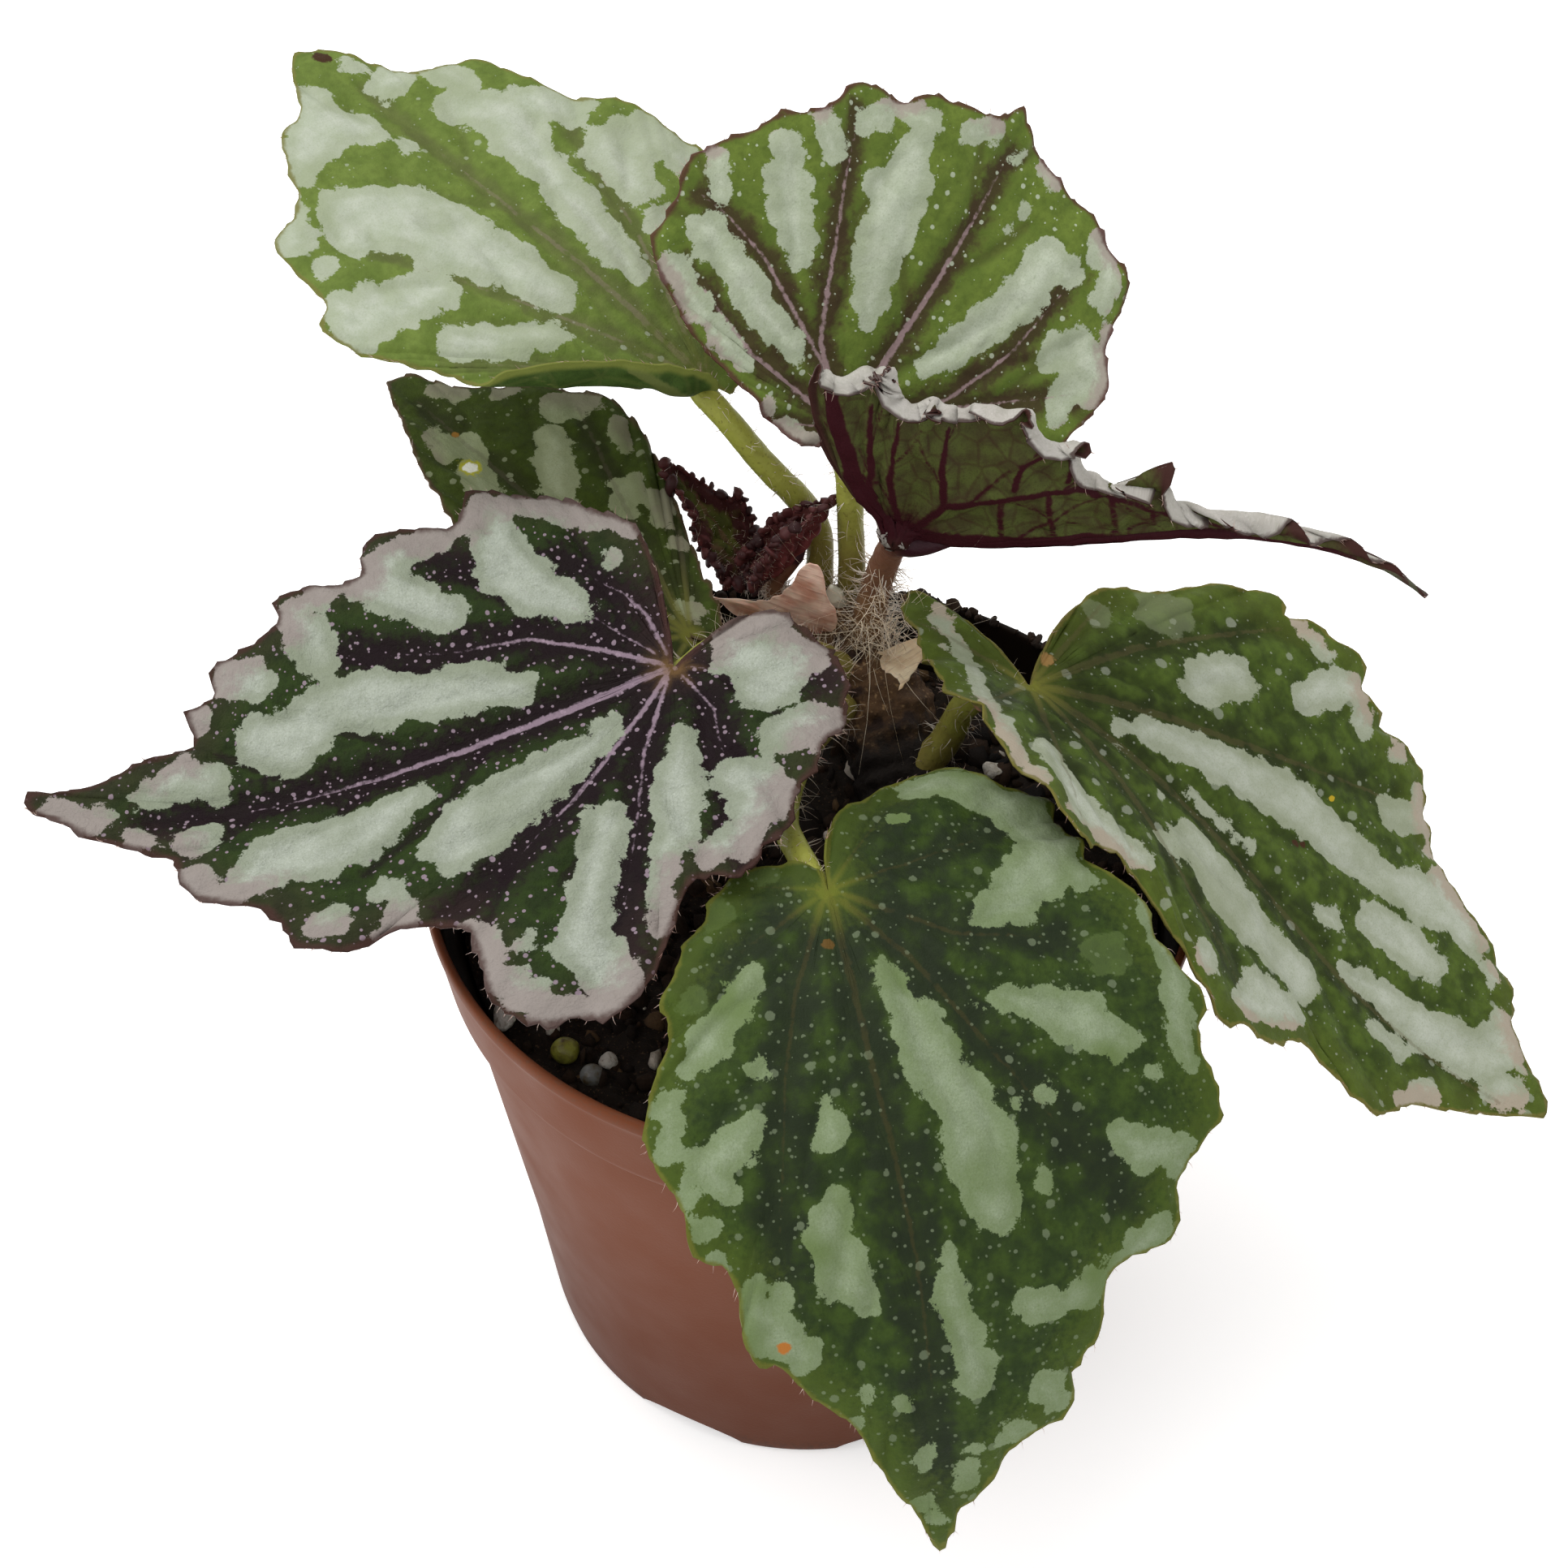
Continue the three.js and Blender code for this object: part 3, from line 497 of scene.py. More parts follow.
def lumps(spots, sizes, seed, level=2, dent=0.3, stretch=0.3, finish=0):
    """Many dented balls in one sheet. Each has its own stored tone, 0 to 1."""
    rng = np.random.default_rng(seed)
    base, faces = ball(level)
    all_points, all_faces, tones = [], [], []
    for k, (spot, size) in enumerate(zip(spots, sizes)):
        shape = base * (1 + dent * ripples(base, 1.5, seed * 1000 + k, 6))[:, None]
        shape = turned(shape * np.exp(rng.normal(0, stretch, 3)), rng) * size
        all_points.append(shape + spot)
        all_faces.append(faces + k * len(base))
        tones.append(np.full(len(base), rng.random()))
    return np.concatenate(all_points), np.concatenate(all_faces), {"tone": np.concatenate(tones)}, finish


def random_sizes(count, smallest, largest, seed):
    """Many small sizes and a few large ones."""
    return smallest * (largest / smallest) ** (np.random.default_rng(seed).random(count) ** 1.8)


def spots_on_soil(sizes, seed, raised):
    """A random spot on the ground for each lump, whose middle is raised by a share of its size."""
    rng = np.random.default_rng(seed)
    radius, turn = 47 * np.sqrt(rng.random(len(sizes))), 2 * np.pi * rng.random(len(sizes))
    x, y = radius * np.cos(turn), radius * np.sin(turn)
    return np.stack([x, y, soil_height(x, y) + raised * sizes], -1)


print("points of a small ball:", len(ball(2)[0]))

# %% Crumbs
CRUMBS, BARK_BITS = 1500, 90
RIM_CRUMBS, RIM_HEAP = 90, 34  # spread along the back of the rim, and heaped in one place of it
crumb_size = random_sizes(CRUMBS, 0.35, 2.1, 21)
crumbs = lumps(spots_on_soil(crumb_size, 22, 0.1), crumb_size, 23, level=1, dent=0.35, finish=1)
bark_size = random_sizes(BARK_BITS, 0.5, 1.4, 31)
bark = lumps(spots_on_soil(bark_size, 32, 0.4), bark_size, 33, dent=0.22, stretch=0.75, finish=1)

rim_rng = np.random.default_rng(61)
rim_turn = np.radians(np.concatenate([rim_rng.uniform(30, 108, RIM_CRUMBS), rim_rng.normal(74, 4, RIM_HEAP)]))
rim_reach = rim_rng.uniform(50.6, 52.2, RIM_CRUMBS + RIM_HEAP)
rim_size = random_sizes(RIM_CRUMBS + RIM_HEAP, 0.35, 1.1, 62)
on_rim = np.stack([rim_reach * np.cos(rim_turn), rim_reach * np.sin(rim_turn), 91.9 + 0.35 * rim_size], -1)
rim_crumbs = lumps(on_rim, rim_size, 63, dent=0.35, finish=1)

crumb_finish = Finish("crumbs", roughness=0.9, specular=0.3)
crumb_tone = crumb_finish.stored("tone")
crumb_paint = crumb_finish.mix(crumb_tone, paint(12, 9, 7), paint(70, 50, 34))
crumb_paint = crumb_finish.mix(crumb_finish.step(crumb_tone, 0.94, 0.96), crumb_paint, paint(118, 92, 62))
crumb_finish.colour(crumb_finish.mix(0.5, crumb_paint, crumb_finish.grain(2.0, 4), "MULTIPLY"))
crumb_finish.bump(crumb_finish.grain(3.0, 4, 0.7), 0.35)
soil_blocks = tuple(np.array([f for f in soil_faces if len(f) == corners]) for corners in (3, 4))
soil_sheets = [(soil_points, soil_blocks, {}, 0), crumbs, bark, rim_crumbs]
make_piece("soil_ground", soil_sheets, [soil_finish, crumb_finish], "soil")

# %% [markdown]
# White perlite is foamed glass: chalky, angular and full of pores. The slow feed grains are smooth little beads,
# one yellow-green and one grey, that lie by the rim at the front left. A pale oblong grain lies there too.

# %% Perlite
GRAIN_COUNT, GRAIN_SMALL, GRAIN_LARGE = 26, 0.8, 2.1


def counting(seed):
    """The same simple random numbers as the solid's grains, so that these lie where those do."""
    state = seed
    while True:
        state = (state * 1664525 + 1013904223) % 4294967296
        yield state / 4294967296


draw = counting(7)
grain_spots, grain_sizes = [], []
for _ in range(GRAIN_COUNT):
    turn, reach = 2 * math.pi * next(draw), 44 * math.sqrt(next(draw))
    size = GRAIN_SMALL + (GRAIN_LARGE - GRAIN_SMALL) * next(draw)
    next(draw)  # the solid turns each grain by a fourth number
    x, y = reach * math.cos(turn), reach * math.sin(turn)
    grain_spots.append((x, y, float(soil_height(np.array(x), np.array(y))) + size * 0.25))
    grain_sizes.append(size * 0.8)
perlite = lumps(grain_spots, grain_sizes, 41, level=3, dent=0.2, stretch=0.15)
chip_size = random_sizes(70, 0.3, 0.9, 42)
chips = lumps(spots_on_soil(chip_size, 43, 0.3), chip_size, 44, dent=0.25)

perlite_finish = Finish("perlite", roughness=0.95, specular=0.2)
white = perlite_finish.mix(perlite_finish.stored("tone"), paint(186, 176, 160), paint(226, 222, 212))
pores = perlite_finish.step(perlite_finish.grain(1.2, 4), 0.5, 0.75)
perlite_finish.colour(perlite_finish.mix(pores, white, paint(150, 134, 112)))
perlite_finish.bump(perlite_finish.grain(4.0, 3, 0.6), 0.3)
print("perlite grains:", len(grain_sizes) + len(chip_size))

# %% Feed grains


def pebble(spot, stretch, tone, finish, dent=0.05, wavelength=1.4, seed=5):
    """One smooth grain with hardly a dent."""
    base, faces = ball(4)
    shape = base * (1 + dent * ripples(base, wavelength, seed))[:, None] * stretch + spot
    return shape, faces, {"tone": np.full(len(base), tone)}, finish


oblong = pebble((-39.6, -25.2, 84.6), (1.5, 2.5, 1.6), 1.0, 0, dent=0.1, wavelength=1.2, seed=9)
green_bead = pebble((-31.4, -29.9, 83.2), (1.85, 1.85, 1.7), 0.0, 1)
grey_bead = pebble((-27.7, -33.6, 82.9), (1.5, 1.6, 1.4), 1.0, 1)
bead_finish = Finish("feed_grain", roughness=0.4)
bead_colour = bead_finish.mix(bead_finish.stored("tone"), paint(150, 150, 58), paint(128, 130, 128))
bead_worn = bead_finish.step(bead_finish.grain(0.7, 3), 0.4, 0.75)
bead_finish.colour(bead_finish.mix(bead_worn, bead_colour, paint(90, 74, 44)))
bead_finish.bump(bead_finish.grain(2.5, 2), 0.12)
grain_sheets = [perlite, chips, oblong, green_bead, grey_bead]
make_piece("perlite_and_beads", grain_sheets, [perlite_finish, bead_finish])

# %% [markdown]
# ## Hairs
# Begonias of this kind are hairy: long pale hairs on the stalks, short pink bristles on the leaf edges, white
# wool on the stem. A hair is a thin three-sided cone that bends a little. Thousands are built at once by working
# on whole columns of numbers, which is far quicker than one Blender object for each.

# %% Strands


def strands(roots, directions, lengths, radius, bend, seed, segments=4, finish=0):
    """One sheet with a bent, tapering three-sided strand at each root."""
    rng = np.random.default_rng(seed)
    roots, directions = np.asarray(roots, float), np.asarray(directions, float)
    count = len(roots)
    directions = directions / np.linalg.norm(directions, axis=1)[:, None]
    sideways = np.cross(directions, rng.normal(size=(count, 3)))
    sideways /= np.linalg.norm(sideways, axis=1)[:, None] + 1e-9
    across = np.cross(directions, sideways)
    bends = rng.normal(0, bend, count)[:, None]
    curls = rng.normal(0, bend * 0.6, count)[:, None]
    lengths = np.broadcast_to(lengths, (count,))[:, None]
    rings = []
    for f in np.linspace(0, 1, segments + 1):
        bow, curl = bends * f**2, curls * (f**3 - f * f * 0.5)
        middle = roots + lengths * (directions * f + sideways * bow + across * curl)
        width = radius * (1 - 0.85 * f)
        for corner in range(3):
            angle = 2 * math.pi * corner / 3
            rings.append(middle + width * (sideways * math.cos(angle) + across * math.sin(angle)))
    points = np.stack(rings, 1).reshape(-1, 3)
    faces = []
    for k in range(segments):
        for corner in range(3):
            other = (corner + 1) % 3
            faces.append((k * 3 + corner, k * 3 + other, k * 3 + 3 + other, k * 3 + 3 + corner))
    faces = np.array(faces)[None] + (np.arange(count) * 3 * (segments + 1))[:, None, None]
    shade = np.repeat(rng.random(count), 3 * (segments + 1))
    return points, faces.reshape(-1, 4), {"tone": shade}, finish


def hair_finish(name, dark, light):
    finish = Finish(name, roughness=0.45)
    finish.colour(finish.mix(finish.stored("tone"), dark, light))
    finish.glow(0.2)
    return finish


pale_hair = hair_finish("pale_hair", paint(188, 164, 138), paint(240, 230, 214))
pink_hair = hair_finish("pink_hair", paint(150, 100, 88), paint(206, 178, 160))
print("hair finishes ready")

# %% [markdown]
# ## The bent leaf sheet
# A leaf is drawn flat first, by angle and distance from the point where the stalk joins it. The flat drawing is
# then laid on a bent surface: the midrib climbs, droops and turns, and both halves fold and curl away from it.
# These are the same curves as the CAD solid's, so the fine leaf lies in the plain one's place, with finer edges.

# %% Bend


def along_midrib(values, fraction):
    """A value at base, half way and tip, on a parabola."""
    base, middle, tip = values
    slope, bend = -3 * base + 4 * middle - tip, 2 * base - 4 * middle + 2 * tip
    f = np.minimum(fraction, 1.15)
    return np.where(fraction < 0, base + slope * fraction, base + slope * f + bend * f * f)


def midrib_direction(leaf, fraction):
    heading = np.radians(along_midrib(leaf["heading"], fraction))
    pitch = np.radians(along_midrib(leaf["pitch"], fraction))
    level = np.cos(pitch)
    return np.stack([level * np.cos(heading), level * np.sin(heading), np.sin(pitch)], -1), heading


def midrib_points(leaf, distance):
    steps = 24
    walk = np.zeros(distance.shape + (3,)) + leaf["at"]
    for i in range(steps):
        ahead, _ = midrib_direction(leaf, (i + 0.5) / steps * distance / leaf["length"])
        walk += ahead * (distance / steps)[..., None]
    return walk


def bent(leaf, along, across, off):
    """Where a flat point of the leaf lies in space, in millimetres."""
    fraction = np.clip(along / leaf["length"], 0, 1)
    ahead, heading = midrib_direction(leaf, along / leaf["length"])
    flat_side = np.stack([-np.sin(heading), np.cos(heading), np.zeros_like(heading)], -1)
    up = np.cross(ahead, flat_side)
    roll = np.radians(leaf["roll"][0] + (leaf["roll"][1] - leaf["roll"][0]) * fraction)[..., None]
    sideways = flat_side * np.cos(roll) + up * np.sin(roll)
    normal = up * np.cos(roll) - flat_side * np.sin(roll)
    half = (across < 0).astype(int)
    fold_base, fold_tip = np.array(leaf["fold"][0], float)[half], np.array(leaf["fold"][1], float)[half]
    start = np.radians(fold_base + (fold_tip - fold_base) * fraction)
    curl = np.radians(np.array(leaf["curl"], float)[half])
    curl = np.where(np.abs(curl) < 1e-6, 1e-5, curl)
    end = start + curl * np.abs(across)
    out = (np.sin(end) - np.sin(start)) / curl - off * np.sin(end)
    lift = (np.cos(start) - np.cos(end)) / curl + off * np.cos(end)
    return midrib_points(leaf, along) + sideways * (np.sign(across) * out)[..., None] + normal * lift[..., None]


def under_midrib(leaf, along, depth):
    """Points that many millimetres below the midrib."""
    ahead, heading = midrib_direction(leaf, along / leaf["length"])
    flat_side = np.stack([-np.sin(heading), np.cos(heading), np.zeros_like(heading)], -1)
    roll = math.radians(leaf["roll"][0])
    normal = np.cross(ahead, flat_side) * math.cos(roll) - flat_side * math.sin(roll)
    return midrib_points(leaf, along) - normal * depth[:, None]


print("bend ready")

# %% [markdown]
# ## Drawing on a leaf by distance
# A blotch or a vein is a chain of discs: an angle, a distance and a half width at each bead. What is stored at
# each point of the leaf is how far it is outside the nearest chain. The material can then make the border as
# sharp and as ragged as it likes, which colours stored at the points could not do.

# %% Distance to chains


def flat(chain):
    chain = np.array(chain, dtype=float)
    angle = np.radians(chain[:, 0])
    return np.stack([chain[:, 1] * np.cos(angle), chain[:, 1] * np.sin(angle)], -1), chain[:, 2]


def to_piece(points, a, b):
    """How far points lie from the straight piece a to b, and at which share of it its nearest spot is."""
    line = b - a
    share = np.clip(((points - a) @ line) / max(line @ line, 1e-9), 0, 1)
    return np.linalg.norm(points - a - share[..., None] * line, axis=-1), share


def outside(points, chains):
    """How far flat points lie outside the nearest chain, in mm: below zero inside, and 20 with no chain."""
    nearest = np.full(points.shape[:-1], 60.0 if chains else 20.0)
    for chain in chains:
        beads, widths = flat(chain)
        if len(beads) == 1:
            beads, widths = np.repeat(beads, 2, 0), np.repeat(widths, 2)
        for a, b, wide_a, wide_b in zip(beads, beads[1:], widths, widths[1:]):
            gap, share = to_piece(points, a, b)
            nearest = np.minimum(nearest, gap - (wide_a + (wide_b - wide_a) * share))
    return nearest


print("distance check:", outside(np.array([[10.0, 0.0]]), [[(0, 5, 1.0)]]))

# %% Leaf outline


def margin_radius(outline, angles):
    """The distance from stalk to edge at each angle: a smooth curve through the outline's points."""
    a, r = np.array(outline, float).T
    i = np.clip(np.searchsorted(a, angles) - 1, 0, len(a) - 2)
    before, after = np.clip(i - 1, 0, None), np.clip(i + 2, None, len(a) - 1)
    width = a[i + 1] - a[i]
    f = np.clip((angles - a[i]) / width, 0, 1)
    slope1 = (r[i + 1] - r[before]) / (a[i + 1] - a[before])
    slope2 = (r[after] - r[i]) / (a[after] - a[i])
    share = f * f * (3 - 2 * f)
    return (r[i] + slope1 * width * f) * (1 - share) + (r[i + 1] - slope2 * width * (1 - f)) * share


def lifted(lobe, along, across):
    """A basal lobe turned up along a line from the stalk: a round bend, then flat."""
    line, full = math.radians(lobe["from"]), math.radians(lobe["angle"])
    out = (-math.sin(line), math.cos(line))
    u = along * out[0] + across * out[1]
    bent_part = np.minimum(u / lobe["radius"], full)
    rest = np.maximum(u - full * lobe["radius"], 0)
    flat_part = lobe["radius"] * np.sin(bent_part) + rest * math.cos(full)
    rise = lobe["radius"] * (1 - np.cos(bent_part)) + rest * math.sin(full)
    moves = (u > 0) & (across >= 0)
    return (np.where(moves, along + out[0] * (flat_part - u), along),
            np.where(moves, across + out[1] * (flat_part - u), across), np.where(moves, rise, 0))


print("outline ready")

# %% [markdown]
# ## The blade
# The blade is a fan of lines from the stalk to the edge, cut by rings. The lines are spread evenly along the
# edge, so that its teeth come out crisp everywhere. Between the veins a real blade bulges like a quilt, its veins
# lie in grooves, its edge is ruffled, and below the veins stand out as ribs. All of that is moved into the mesh.
# One leaf's rim is also rolled over to its lower side, like a cuff, but for a few tall teeth that stand up.

# %% Side veins


def side_veins(veins, seed):
    """Finer veins that leave each main vein at a slant, left and right in turn."""
    rng = np.random.default_rng(seed)
    result = []
    for vein in veins:
        beads, _ = flat(vein)
        length = np.linalg.norm(np.diff(beads, axis=0), axis=1).sum()
        if length < 12:
            continue
        for k, share in enumerate(np.arange(0.22, 0.95, 8.0 / length)):
            place = share * (len(beads) - 1)
            i = min(int(place), len(beads) - 2)
            root = beads[i] + (beads[i + 1] - beads[i]) * (place - i)
            ahead = math.atan2(*(beads[i + 1] - beads[i])[::-1])
            slant = math.radians(rng.uniform(34, 50)) * (1 if k % 2 else -1)
            reach = (1 - share) * length * 0.45 + rng.uniform(3, 7)
            chain = []
            for f in (0, 0.5, 1):
                turn = ahead + slant * (1 - 0.25 * f)
                point = root + reach * f * np.array([math.cos(turn), math.sin(turn)])
                chain.append((math.degrees(math.atan2(point[1], point[0])), np.hypot(*point), 0.28 - 0.2 * f))
            result.append(chain)
    return result


print("side veins ready")

# %% Edge of the fan
TOOTH_SHARE, TOOTH_COUNT = 0.018, 22


def fan_of(outline, spokes):
    """The edge as a flat line, and angle, place along the edge and length of each spoke of the fan."""
    fine = np.linspace(outline[0][0], outline[-1][0], 1800)
    edge = margin_radius(outline, fine) * (1 + TOOTH_SHARE * np.cos(np.radians(fine * TOOTH_COUNT)))
    turn = np.radians(fine)
    line = np.stack([edge * np.cos(turn), edge * np.sin(turn)], -1)
    arc = np.concatenate([[0], np.cumsum(np.linalg.norm(np.diff(line, axis=0), axis=1))])
    spread = arc + 10 * (turn - turn[0])
    angles = np.interp(np.linspace(0, spread[-1], spokes + 1), spread, fine)
    return line, angles, np.interp(angles, fine, arc), np.interp(angles, fine, edge)


def toothed(leaf, arc, edge, seed):
    """The length of each spoke with the small teeth and an unevenness added."""
    bite, height = leaf["teeth"]
    saw = (arc / bite + 0.35 * ripples(arc[:, None], bite * 3, seed)) % 1
    edge = edge + height * (saw**1.6 - 0.4) * np.clip(edge / 14, 0, 1)
    return edge + leaf["uneven"] * ripples(arc[:, None], 6.0, seed + 1) * np.clip(edge / 20, 0, 1)


def single_peaks(leaf, angles):
    """Where the few tall teeth of a leaf stand, 0 to 1, and how far they push the edge out."""
    peaks, push = np.zeros(len(angles)), np.zeros(len(angles))
    for at, wide, tall in leaf["peaks"]:
        peak = np.exp(-((angles - at) / wide) ** 2)
        peaks, push = np.maximum(peaks, peak), push + tall * peak
    return peaks, push


def distance_to_edge(points, line):
    border = np.concatenate([[[0.0, 0.0]], line[::6], [[0.0, 0.0]]])
    nearest = np.full(points.shape[:-1], 99.0)
    for a, b in zip(border, border[1:]):
        nearest = np.minimum(nearest, to_piece(points, a, b)[0])
    nearest[:, -1] = 0
    return nearest


print("edge ready")

# %% Relief and rolled rim
CUFF_BEND = 0.7  # radius of the bend at the foot of a rolled rim
CUFF_START = -134  # degrees: the rolled rim of a leaf begins here


def relief(leaf, spots, turn, part, radius, rim, near, arc, seed):
    """How far each point stands off the bent surface: waves, quilt between the veins, ruffled edge, crumple."""
    quilt = leaf["quilt"] * (1 - np.exp(-(np.maximum(near, 0) / 2.4) ** 2) - 0.5)
    quilt *= smooth(radius, 1, 9) * (1 - 0.5 * smooth(rim, 3, 0))
    height, count = leaf["wave"]
    off = height * part[None] ** 3 * np.sin(turn * count) + quilt
    off = off + 0.14 * ripples(spots, 4.5, seed + 3) * smooth(radius, 1, 8)
    swing = ripples(arc[:, None], 11.0, seed + 4) + 0.5 * ripples(arc[:, None], 5.0, seed + 5)
    off = off + leaf["ruffle"] * swing[:, None] * np.exp(-rim / 3.5) * smooth(radius, 2, 12)
    return off + leaf["crumple"] * ripples(spots, 2.4, seed + 6) * smooth(radius, 0.5, 3)


def cuff_turn(leaf, angles, edge, peaks):
    """By how many degrees the rim is rolled over at each spoke. It stays upright where a tall tooth stands."""
    _, near_half, far_half = leaf["cuff"]
    off_midrib = edge * np.sin(np.radians(angles))
    amount = np.where(angles < 0, near_half, far_half) * (1 - 0.85 * peaks)
    amount = amount * smooth(np.abs(off_midrib), 2, 7) * smooth(angles, CUFF_START, CUFF_START + 8)
    return np.maximum(amount, 1)


def cuff_shift(middle, rim, width, turn):
    """How far each point moves when the outer strip of the sheet is rolled over to its lower side."""
    in_strip = np.clip(width - rim, 0, width)[..., None]
    edge_way = np.gradient(middle[:, -10], axis=0)
    normal = np.cross(middle[:, -8] - middle[:, -14], edge_way)
    normal /= np.linalg.norm(normal, axis=1)[:, None] + 1e-12
    outward = np.cross(edge_way, normal)
    outward /= np.linalg.norm(outward, axis=1)[:, None] + 1e-12
    turn = turn[:, None, None]
    angle = np.minimum(in_strip / CUFF_BEND, turn)
    rest = np.maximum(in_strip - CUFF_BEND * turn, 0)
    out = CUFF_BEND * np.sin(angle) + rest * np.cos(turn) - in_strip
    down = CUFF_BEND * (1 - np.cos(angle)) + rest * np.sin(turn)
    return outward[:, None] * out - normal[:, None] * down


print("relief ready")

# %% Blade sheet
PLAIN_LEAF = {
    "teeth": (4.0, 0.5), "uneven": 0.25, "peaks": (), "quilt": 0.75, "ruffle": 0.5, "crumple": 0,
    "thickness": 0.75, "rib": 0.9, "silver": (), "dull": (), "lobe_lift": None, "cuff": None}
PATTERN_STEP = np.array([37.0, 11.0, 0.0])  # the next leaf's pattern starts this much further on


def closed_sheet(upper, lower, centre, centre_normal):
    """Points and faces of a fan with an upper side, a lower side and a wall round its edge."""
    spokes, rings = upper.shape[0] - 1, upper.shape[1]
    count = 1 + upper.shape[0] * rings
    grid = 1 + np.arange(count - 1).reshape(spokes + 1, rings)
    a, b, c, d = grid[:-1, :-1], grid[:-1, 1:], grid[1:, 1:], grid[1:, :-1]
    quads = np.stack([a, b, c, d], -1).reshape(-1, 4)
    fan = np.stack([np.zeros(spokes, int), grid[:-1, 0], grid[1:, 0]], -1)
    loop = np.concatenate([[0], grid[0, :-1], grid[:, -1], grid[-1, -2::-1]])
    following = np.roll(loop, -1)
    walls = np.stack([loop, loop + count, following + count, following], -1)
    points = np.concatenate([[centre + centre_normal * 0.35], upper.reshape(-1, 3),
                             [centre - centre_normal * 0.8], lower.reshape(-1, 3)])
    faces = (np.concatenate([quads, quads[:, ::-1] + count, walls]), np.concatenate([fan, fan[:, ::-1] + count]))
    return points, faces


def blade(leaf, seed, spokes=320, rings=58):
    """A leaf's closed sheet with all that is stored at its points, and its middle, edge and directions."""
    leaf = {**PLAIN_LEAF, **leaf}
    line, angles, arc, edge = fan_of(leaf["outline"], spokes)
    edge = toothed(leaf, arc, edge, seed)
    peaks, push = single_peaks(leaf, angles)
    part = 1 - (1 - np.linspace(0, 1, rings + 1)[1:]) ** 1.2
    radius = edge[:, None] * part[None]
    turn = np.radians(angles)[:, None]
    along, across = radius * np.cos(turn), radius * np.sin(turn)
    spots = np.stack([along, across], -1)
    rim = distance_to_edge(spots, line)
    across = across + np.sign(across) * push[:, None] * np.exp(-((rim / 2.2) ** 2))
    places = np.stack([along, across, np.zeros_like(along)], -1) + seed * PATTERN_STEP

    vein, branch = outside(spots, leaf["veins"]), outside(spots, side_veins(leaf["veins"], seed + 2))
    silver, dull = -outside(spots, leaf["silver"]), -outside(spots, leaf["dull"])
    near = np.minimum(vein, branch * 1.3 + 0.5)
    off = relief(leaf, spots, turn, part, radius, rim, near, arc, seed)
    if leaf["lobe_lift"]:
        along, across, rise = lifted(leaf["lobe_lift"], along, across)
        off = off * np.where(rise > 0, 0.3, 1) + rise
    middle = bent(leaf, along, across, off)
    if leaf["cuff"]:
        width = leaf["cuff"][0]
        middle = middle + cuff_shift(middle, rim, width, np.radians(cuff_turn(leaf, angles, edge, peaks)))
        on_cuff = (angles[:, None] < 0) & (angles[:, None] > CUFF_START - 5)
        silver = np.where(on_cuff, np.maximum(silver, width + 1.3 - rim), silver)

    normal = np.cross(np.gradient(middle, axis=1), np.gradient(middle, axis=0))
    normal /= np.linalg.norm(normal, axis=-1)[..., None] + 1e-12
    thick = leaf["thickness"] * (0.45 + 0.55 * smooth(rim, 0, 2.5))
    rib = leaf["rib"] * np.exp(-(np.maximum(vein, 0) / 0.9) ** 2) * (0.25 + 0.75 * smooth(radius, 60, 5))
    rib = rib + 0.25 * np.exp(-(np.maximum(branch, 0) / 0.6) ** 2) * (leaf["rib"] > 0.5)
    rib *= smooth(rim, 0, 2.5)
    upper = middle + normal * (thick / 2)[..., None]
    lower = middle - normal * (thick / 2 + rib)[..., None]
    centre_normal = normal[:, 0].mean(0)
    centre_normal /= np.linalg.norm(centre_normal)
    points, faces = closed_sheet(upper, lower, np.array(leaf["at"], float), centre_normal)

    stored = {}
    for key, values, at_centre in (("silver", silver, -20.0), ("dull", dull, -20.0), ("vein", vein, 0.0),
                                   ("branch", branch, 5.0), ("rim", rim, 4.0), ("reach", radius, 0.0)):
        one_side = np.concatenate([[at_centre], values.ravel()])
        stored[key] = np.concatenate([one_side, one_side])
    one_side = np.concatenate([[seed * PATTERN_STEP], places.reshape(-1, 3)])
    stored["place"] = np.concatenate([one_side, one_side])
    stored["under"] = np.repeat([0.0, 1.0], len(one_side))
    return {"sheet": (points, faces, stored, 0), "middle": middle, "normals": normal,
            "edge": middle[:, -1], "outward": upper[:, -1] - upper[:, -4]}


print("blade ready")

# %% [markdown]
# ## The stalk
# A stalk is a juicy round stem that thins a little towards the blade. It is a tube along a smooth curve through a
# few points. Just before the blade it dips under it and runs on as the thick start of the midrib, as the real
# one does, so no round stub shows on the upper face.

# %% Smooth path and tube


